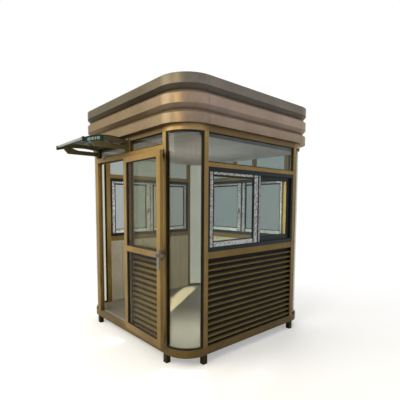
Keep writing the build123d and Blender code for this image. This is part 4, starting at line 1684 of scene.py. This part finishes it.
@dataclass
class Room(Assembly):
    """Skirting at the floor and a cove under the ceiling."""

    skirting_height: float = 0.060
    skirting_depth: float = 0.009
    cove: float = 0.030

    def build(self) -> None:
        """Make both trims, with the skirting only beside the door on the front wall."""
        plan = self.plan
        back, bottom = plan.post_width, plan.base_top
        for side in Side:
            shape = Shape(plan.wall(side))
            left = plan.mullion_right if side is Side.FRONT else -plan.bay_half
            shape.block((left, back, bottom),
                        (plan.bay_half, back + self.skirting_depth, bottom + self.skirting_height), 0.002)
            shape.finish(f"{side.label}_skirting", LINING, Slot.LINING_BOARD)
        cove = Shape(plan.level)
        shares = ((0.0, 0.0), (0.0, -1.0), (0.35, -0.65), (0.65, -0.35), (1.0, 0.0))
        section = [(self.cove * inset, self.cove * rise) for inset, rise in shares]
        cove.square_tube(plan.inner, plan.corner_radius - plan.post_width, 8, plan.ceiling_bottom, section)
        cove.finish("ceiling_cove", CEILING, Slot.LINING_BOARD)


@dataclass
class Roof(Assembly):
    """Standing seams, edge cover and screws on top of the roof."""

    seam_count: int = 6
    seam_width: float = 0.012
    seam_height: float = 0.010
    rim_width: float = 0.045
    rim_height: float = 0.004
    screw_radius: float = 0.006

    def build(self) -> None:
        """Make the seams, the edge cover and its screws."""
        self.seams()
        self.edge_cover()
        self.screws()

    def seams(self) -> None:
        """Low ribs from front to rear."""
        shape = Shape(self.plan.level)
        top = self.plan.roof_top
        reach = self.plan.roof_half - 2 * self.rim_width
        for index in range(self.seam_count):
            x = -reach + 2 * reach * (index + 0.5) / self.seam_count
            shape.block((x - self.seam_width / 2, -reach, top),
                        (x + self.seam_width / 2, reach, top + self.seam_height), 0.003)
        shape.finish("roof_seams", FASCIA_BRONZE, Slot.BRONZE)

    def edge_cover(self) -> None:
        """A flat strip round the roof's edge."""
        shape = Shape(self.plan.level)
        corner = self.plan.corner_radius + self.plan.roof_half - self.plan.half
        section = [(0.004, 0.0), (0.006, self.rim_height), (self.rim_width - 0.002, self.rim_height),
                   (self.rim_width, 0.0)]
        shape.square_tube(self.plan.roof_half, corner, 16, self.plan.roof_top, section)
        shape.finish("roof_edge_cover", FASCIA_BRONZE, Slot.BRONZE)

    def screws(self) -> None:
        """Seven screws along each side of the edge cover."""
        shape = Shape(self.plan.level)
        line = self.plan.roof_half - self.rim_width / 2
        top = self.plan.roof_top + self.rim_height
        for turn in range(4):
            spin = Matrix.Rotation(math.radians(90 * turn), 3, "Z")
            for step in range(-3, 4):
                foot = spin @ Vector((step * self.plan.flat_half / 3, -line, top))
                shape.screw(foot, Vector((0, 0, 1)), self.screw_radius)
        shape.finish("roof_screws", STEEL, Slot.HARDWARE_STEEL)


@dataclass
class Canopy(Assembly):
    """Bolts, end caps and the coloured strip on the canopy over the doorway."""

    bolt_radius: float = 0.0045
    bolt_offset: float = 0.0195
    bolt_levels: Pair = (0.015, 0.085)
    wall_plate: float = 0.020
    arm_half: float = 0.014
    strip_height: float = 0.048
    strip_start: float = 0.281
    strip_end: float = 0.489
    strip_thickness: float = 0.0015
    strip_below_crown: float = 0.005
    strip_fall: float = 0.049
    strip_curve: float = 1.6
    tile_margin: float = 0.010
    tile_thickness: float = 0.0006
    tile_shares: tuple[Pair, ...] = ((0.23, 0.38), (0.42, 0.50), (0.54, 0.66), (0.70, 0.86))
    nose_plate: float = 0.003
    nose_drop: float = 0.022

    def __post_init__(self) -> None:
        """Find the brackets, left and right, and the two rails."""
        self.place = self.plan.wall()
        self.brackets = [self.plan.solids(f"canopy_bracket_{name}")[0] for name in ("left", "right")]
        rails = self.plan.solids("canopy_rails")
        self.front, self.rear = sorted(rails, key=lambda rail: rail.low.y)

    def build(self) -> None:
        """Make the bolts, strip and noses of the brackets."""
        self.bolts()
        self.strip()
        self.noses()

    def bolts(self) -> None:
        """Four bolt heads on each bracket's wall plate."""
        shape = Shape(self.place)
        for bracket in self.brackets:
            for offset in (-self.bolt_offset, self.bolt_offset):
                for level in self.bolt_levels:
                    foot = (bracket.middle.x + offset, -self.wall_plate, bracket.low.z + level)
                    shape.screw(foot, Face.OUTER.axis, self.bolt_radius)
        shape.finish("canopy_bolts", STEEL, Slot.HARDWARE_STEEL)

    def edge(self, share: float, drop: float) -> Pair:
        """A point of the strip's upper edge, which follows the arm's arch downwards.

        Args:
            share: how far along the strip, from 0 to 1.
            drop: how far below the edge.

        Returns:
            The distance in front of the wall and the height.
        """
        crown = self.brackets[1].high.z - self.strip_below_crown
        reach = self.strip_start + share * (self.strip_end - self.strip_start)
        return reach, crown - self.strip_fall * share ** self.strip_curve - drop

    def band(self, shape: Shape, shares: Pair, margin: float, low: float, high: float) -> None:
        """Add a length of the strip.

        Args:
            shape: what it is added to.
            shares: where it starts and ends along the strip, from 0 to 1.
            margin: how far it keeps from the strip's upper and lower edges.
            low: where it starts off the arm's side.
            high: where it ends.
        """
        side = self.brackets[1].middle.x + self.arm_half
        axes = Matrix(((0, 0, 1, side), (-1, 0, 0, 0), (0, 1, 0, 0), (0, 0, 0, 1)))
        steps = [shares[0] + (shares[1] - shares[0]) * step / 8 for step in range(9)]
        upper = [self.edge(share, margin) for share in steps]
        lower = [self.edge(share, self.strip_height - margin) for share in steps]
        shape.sheet(upper + lower[::-1], low, high, axes)

    def strip(self) -> None:
        """The coloured strip with plain white tiles, along the right arm's outer side."""
        teal, white = Shape(self.place), Shape(self.place)
        face = self.strip_thickness
        self.band(teal, (0.0, 1.0), 0.0, 0.0, face)
        for shares in self.tile_shares:
            self.band(white, shares, self.tile_margin, face, face + self.tile_thickness)
        teal.finish("canopy_side_strip", TEAL_STRIP)
        white.finish("canopy_side_tiles", TILE_PLASTIC)

    def noses(self) -> None:
        """The bracket ends that wrap round the front profile, and caps on the rear one."""
        front, rear, plate = self.front, self.rear, self.nose_plate
        nose, caps = Shape(self.place), Shape(self.place)
        low, high = front.low.z - self.nose_drop, front.high.z + plate
        for bracket, end, outwards in zip(self.brackets, front.u_range, (-1, 1)):
            left, right = sorted((bracket.middle.x - outwards * self.arm_half, end))
            nose.block((left, front.low.y, low), (right, front.high.y, front.low.z), 0.0008)
            nose.block((left, front.low.y - plate, low), (right, front.low.y, high), 0.0012)
            nose.block((left, front.low.y, front.high.z), (right, front.high.y, high), 0.0008)
            left, right = sorted((end, end + outwards * plate))
            nose.block((left, front.low.y - plate, low), (right, front.high.y, high), 0.0012)
            caps.block((left, rear.low.y, rear.low.z), (right, rear.high.y, rear.high.z), 0.0012)
        nose.finish("canopy_noses", FOOT_BRONZE, Slot.DARK_BRONZE)
        caps.finish("canopy_rail_caps", BLACK_PLASTIC)


@dataclass
class Feet(Assembly):
    """A plate at the top of each foot."""

    plate: float = 0.004
    inset: float = 0.004
    offset: float = 0.010

    def build(self) -> None:
        """Make a welded plate where each foot meets the base beam, set towards the booth's middle."""
        level = Matrix.Identity(4)
        shape = Shape(level)
        for foot in solids_of("feet", level):
            low = Vector((foot.low.x + self.inset, foot.low.y + self.inset, foot.high.z - self.plate))
            high = Vector((foot.high.x - self.inset, foot.high.y - self.inset, foot.high.z))
            inward = self.plan.centre - foot.middle
            shift = Vector((math.copysign(self.offset, inward.x), math.copysign(self.offset, inward.y), 0))
            shape.block(low + shift, high + shift, 0.001)
        shape.finish("foot_plates", FOOT_BRONZE, Slot.BRONZE)


# --- studio
@dataclass(frozen=True)
class StudioFloor(Finish):
    """A white floor that keeps the booth's shadow and turns into plain white further out."""

    albedo: float = 0.72
    bounce: float = 0.16
    lift: float = 0.36
    fade_start: float = 2.4
    fade_end: float = 4.6

    def shader(self, graph: Graph) -> Socket:
        """Lit white near the booth, plus what the camera sees as background.

        Args:
            graph: the material's graph.

        Returns:
            The shader.
        """
        parts = graph.parts(graph.place())
        squares = [graph.math("POWER", part, 2.0) for part in (parts["X"], parts["Y"])]
        away = graph.math("SQRT", graph.math("ADD", *squares))
        far = graph.remap(away, self.fade_start, self.fade_end)
        seen = graph.seen()
        lit = graph.principled({
            "Base Color": graph.mix(seen, (self.bounce,) * 3, (self.albedo,) * 3),
            "Roughness": 0.9,
            "Emission Color": WHITE,
            "Emission Strength": graph.times(seen, self.lift),
            "Specular IOR Level": 0.0,
        })
        white = graph.add("ShaderNodeEmission", {"Color": WHITE, "Strength": 1.0}).outputs[0]
        return graph.add("ShaderNodeMixShader", {0: graph.times(far, seen), 1: lit, 2: white}).outputs[0]


@dataclass(frozen=True)
class Lamp:
    """A lamp whose own shape the camera doesn't see, though shiny surfaces may mirror it."""

    name: str
    mirrored: bool
    power: float
    colour: Colour
    place: Vector

    def light(self) -> bpy.types.Light:
        """A light of the lamp's shape."""
        raise NotImplementedError

    def hang(self) -> bpy.types.Object:
        """Add the lamp to the scene.

        Returns:
            The lamp.
        """
        data = self.light()
        data.energy, data.color = self.power, self.colour
        lamp = bpy.data.objects.new(self.name, data)
        lamp.location = self.place
        lamp.visible_camera = lamp.visible_transmission = False
        lamp.visible_glossy = self.mirrored
        bpy.context.scene.collection.objects.link(lamp)
        return lamp


@dataclass(frozen=True)
class Bulb(Lamp):
    """A round lamp that shines all ways."""

    radius: float

    def light(self) -> bpy.types.Light:
        """A soft point."""
        data = bpy.data.lights.new(self.name, "POINT")
        data.shadow_soft_size = self.radius
        return data


@dataclass(frozen=True)
class Panel(Lamp):
    """A rectangular lamp that shines at a target, within an angle in degrees."""

    target: Vector
    size: Pair
    spread: float = 180.0

    def light(self) -> bpy.types.Light:
        """A rectangle with its spread.

        Returns:
            The light.
        """
        data = bpy.data.lights.new(self.name, "AREA")
        data.shape, data.size, data.size_y = "RECTANGLE", *self.size
        data.spread = math.radians(self.spread)
        return data

    def hang(self) -> bpy.types.Object:
        """Add the lamp to the scene, turned to its target.

        Returns:
            The lamp.
        """
        lamp = super().hang()
        lamp.rotation_euler = (self.target - self.place).to_track_quat("-Z", "Y").to_euler()
        return lamp


@dataclass(frozen=True)
class View:
    """Where the camera stands, how it is turned and what lens it has."""

    place: Sequence[float] = (3.28275, -2.63953, 1.55837)
    right: Sequence[float] = (0.64700222, 0.76248482, 0.00224191)
    up: Sequence[float] = (-0.06419285, 0.05154019, 0.99660568)
    back: Sequence[float] = (0.75978116, -0.64495, 0.08229269)
    sensor_width: float = 36.0
    lens: float = 30.043
    shift: Pair = (0.0257, 0.0763)

    def take(self) -> None:
        """Add the camera and look through it."""
        data = bpy.data.cameras.new("camera")
        data.sensor_width, data.lens = self.sensor_width, self.lens
        data.shift_x, data.shift_y = self.shift
        camera = bpy.data.objects.new("camera", data)
        turn = Matrix((self.right, self.up, self.back)).transposed().to_4x4()
        camera.matrix_world = Matrix.Translation(self.place) @ turn
        bpy.context.scene.collection.objects.link(camera)
        bpy.context.scene.camera = camera


@dataclass
class Studio(Assembly):
    """Everything that isn't part of the booth: floor, world, lamps and camera."""

    overhead_light: float = 0.62
    level_light: float = 0.15
    floor_reach: float = 40.0
    aim_height: float = 1.3
    sun_direction: Sequence[float] = (0.545, -0.839, -1.0)
    sun_distance: float = 0.60

    def build(self) -> None:
        """Set up the floor, the world, the lamps and the camera."""
        self.floor()
        self.world()
        for lamp in (*self.daylight(), *self.inside()):
            lamp.hang()
        View().take()
        bpy.context.scene.view_settings.view_transform = "Standard"

    def floor(self) -> None:
        """A wide white floor at ground level."""
        data = bpy.data.meshes.new("studio_floor")
        reach = self.floor_reach
        corners = [(-reach, -reach, 0), (reach, -reach, 0), (reach, reach, 0), (-reach, reach, 0)]
        data.from_pydata(corners, [], [(0, 1, 2, 3)])
        data.materials.append(StudioFloor("Studio floor").material())
        floor = bpy.data.objects.new("studio_floor", data)
        bpy.context.scene.collection.objects.link(floor)

    def world(self) -> None:
        """Plain white to look at, dimmer as a light."""
        world = bpy.data.worlds.new("Studio world")
        bpy.context.scene.world = world
        world.use_nodes = True
        world.node_tree.nodes.clear()
        graph = Graph(world.node_tree)
        height = graph.parts(graph.add("ShaderNodeTexCoord").outputs["Generated"])["Z"]
        sky = graph.remap(height, 0.0, 0.9, self.level_light, self.overhead_light)
        strength = graph.larger(graph.seen(), sky)
        background = graph.add("ShaderNodeBackground", {"Color": WHITE, "Strength": strength})
        graph.add("ShaderNodeOutputWorld", {"Surface": background.outputs[0]})

    def daylight(self) -> list[Lamp]:
        """Daylight from the front and overhead, with a cool sky at the right.

        Returns:
            The lamps outside.
        """
        aim = self.plan.centre + Vector((0, 0, self.aim_height))
        return [
            Panel("key_front", True, 330.0, (1.0, 0.94, 0.78), Vector((-2.0, -6.0, 5.0)), aim, (4.5, 4.5)),
            Panel("corner_light", True, 85.0, (1.0, 0.81, 0.46), Vector((2.2, -5.2, 4.0)), aim, (1.6, 1.6)),
            Panel("sky_right", False, 8.0, (0.62, 0.66, 1.0), Vector((3.6, 0.3, 1.45)),
                  Vector((1.06, 0.22, 2.52)), (2.8, 0.3), 18.0),
            Panel("soft_top", True, 110.0, WHITE, Vector((0.0, 0.2, 6.5)), aim, (4.0, 4.0)),
            Panel("fill_rear", True, 170.0, (1.0, 0.97, 0.90), Vector((-3.5, 6.0, 4.5)), aim, (4.0, 4.0)),
        ]

    def inside(self) -> list[Lamp]:
        """Where the sun falls inside, and the soft light that so much glass lets in.

        Returns:
            The lamps inside, which nothing mirrors, so that their light stays off the outer walls.
        """
        centre, flat = self.plan.centre, self.plan.flat_half
        strip = centre + Vector((-0.430, 0.020, 0.172))
        sill = centre + Vector((-0.18, 0.930, 1.07))
        ground = centre + Vector((0.60, -0.62, 0.17))
        post = centre + Vector((flat, flat + 0.18, 1.50))
        sun = self.sun_distance * Vector(self.sun_direction).normalized()
        return [
            Panel("sun_strip", False, 82.0, (1.0, 0.92, 0.70), strip - sun, strip, (0.20, 1.15), 2.5),
            Panel("sun_on_sill", False, 2.2, (1.0, 0.93, 0.74), sill + Vector((0, -0.03, 0.68)), sill,
                  (0.90, 0.02), 8.0),
            Panel("near_floor", False, 12.0, (0.97, 0.98, 1.0), ground + Vector((-0.20, 0.30, 1.90)), ground,
                  (0.7, 0.7), 40.0),
            Panel("far_post", False, 2.0, (1.0, 0.86, 0.50), post + Vector((-0.25, -0.80, 0)), post,
                  (0.08, 0.7), 30.0),
            Bulb("room_light", False, 17.0, (1.0, 0.99, 0.95), centre + Vector((0, 0, 1.45)), 0.35),
        ]


def main() -> None:
    """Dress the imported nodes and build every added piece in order."""
    logging.basicConfig(level=logging.INFO, format="%(message)s")
    plan = booth_plan()
    dress_nodes()
    assemblies: list[Assembly] = [
        FixedGlazing(plan), DoorLeaf(plan), Doorway(plan), Louvers(plan), Room(plan), Roof(plan),
        Canopy(plan), Feet(plan), Studio(plan),
        SlidingWindow(plan, Side.RIGHT), SlidingWindow(plan, Side.REAR), SlidingWindow(plan, Side.LEFT),
    ]
    for assembly in assemblies:
        assembly.build()


if __name__ == "__main__":
    main()
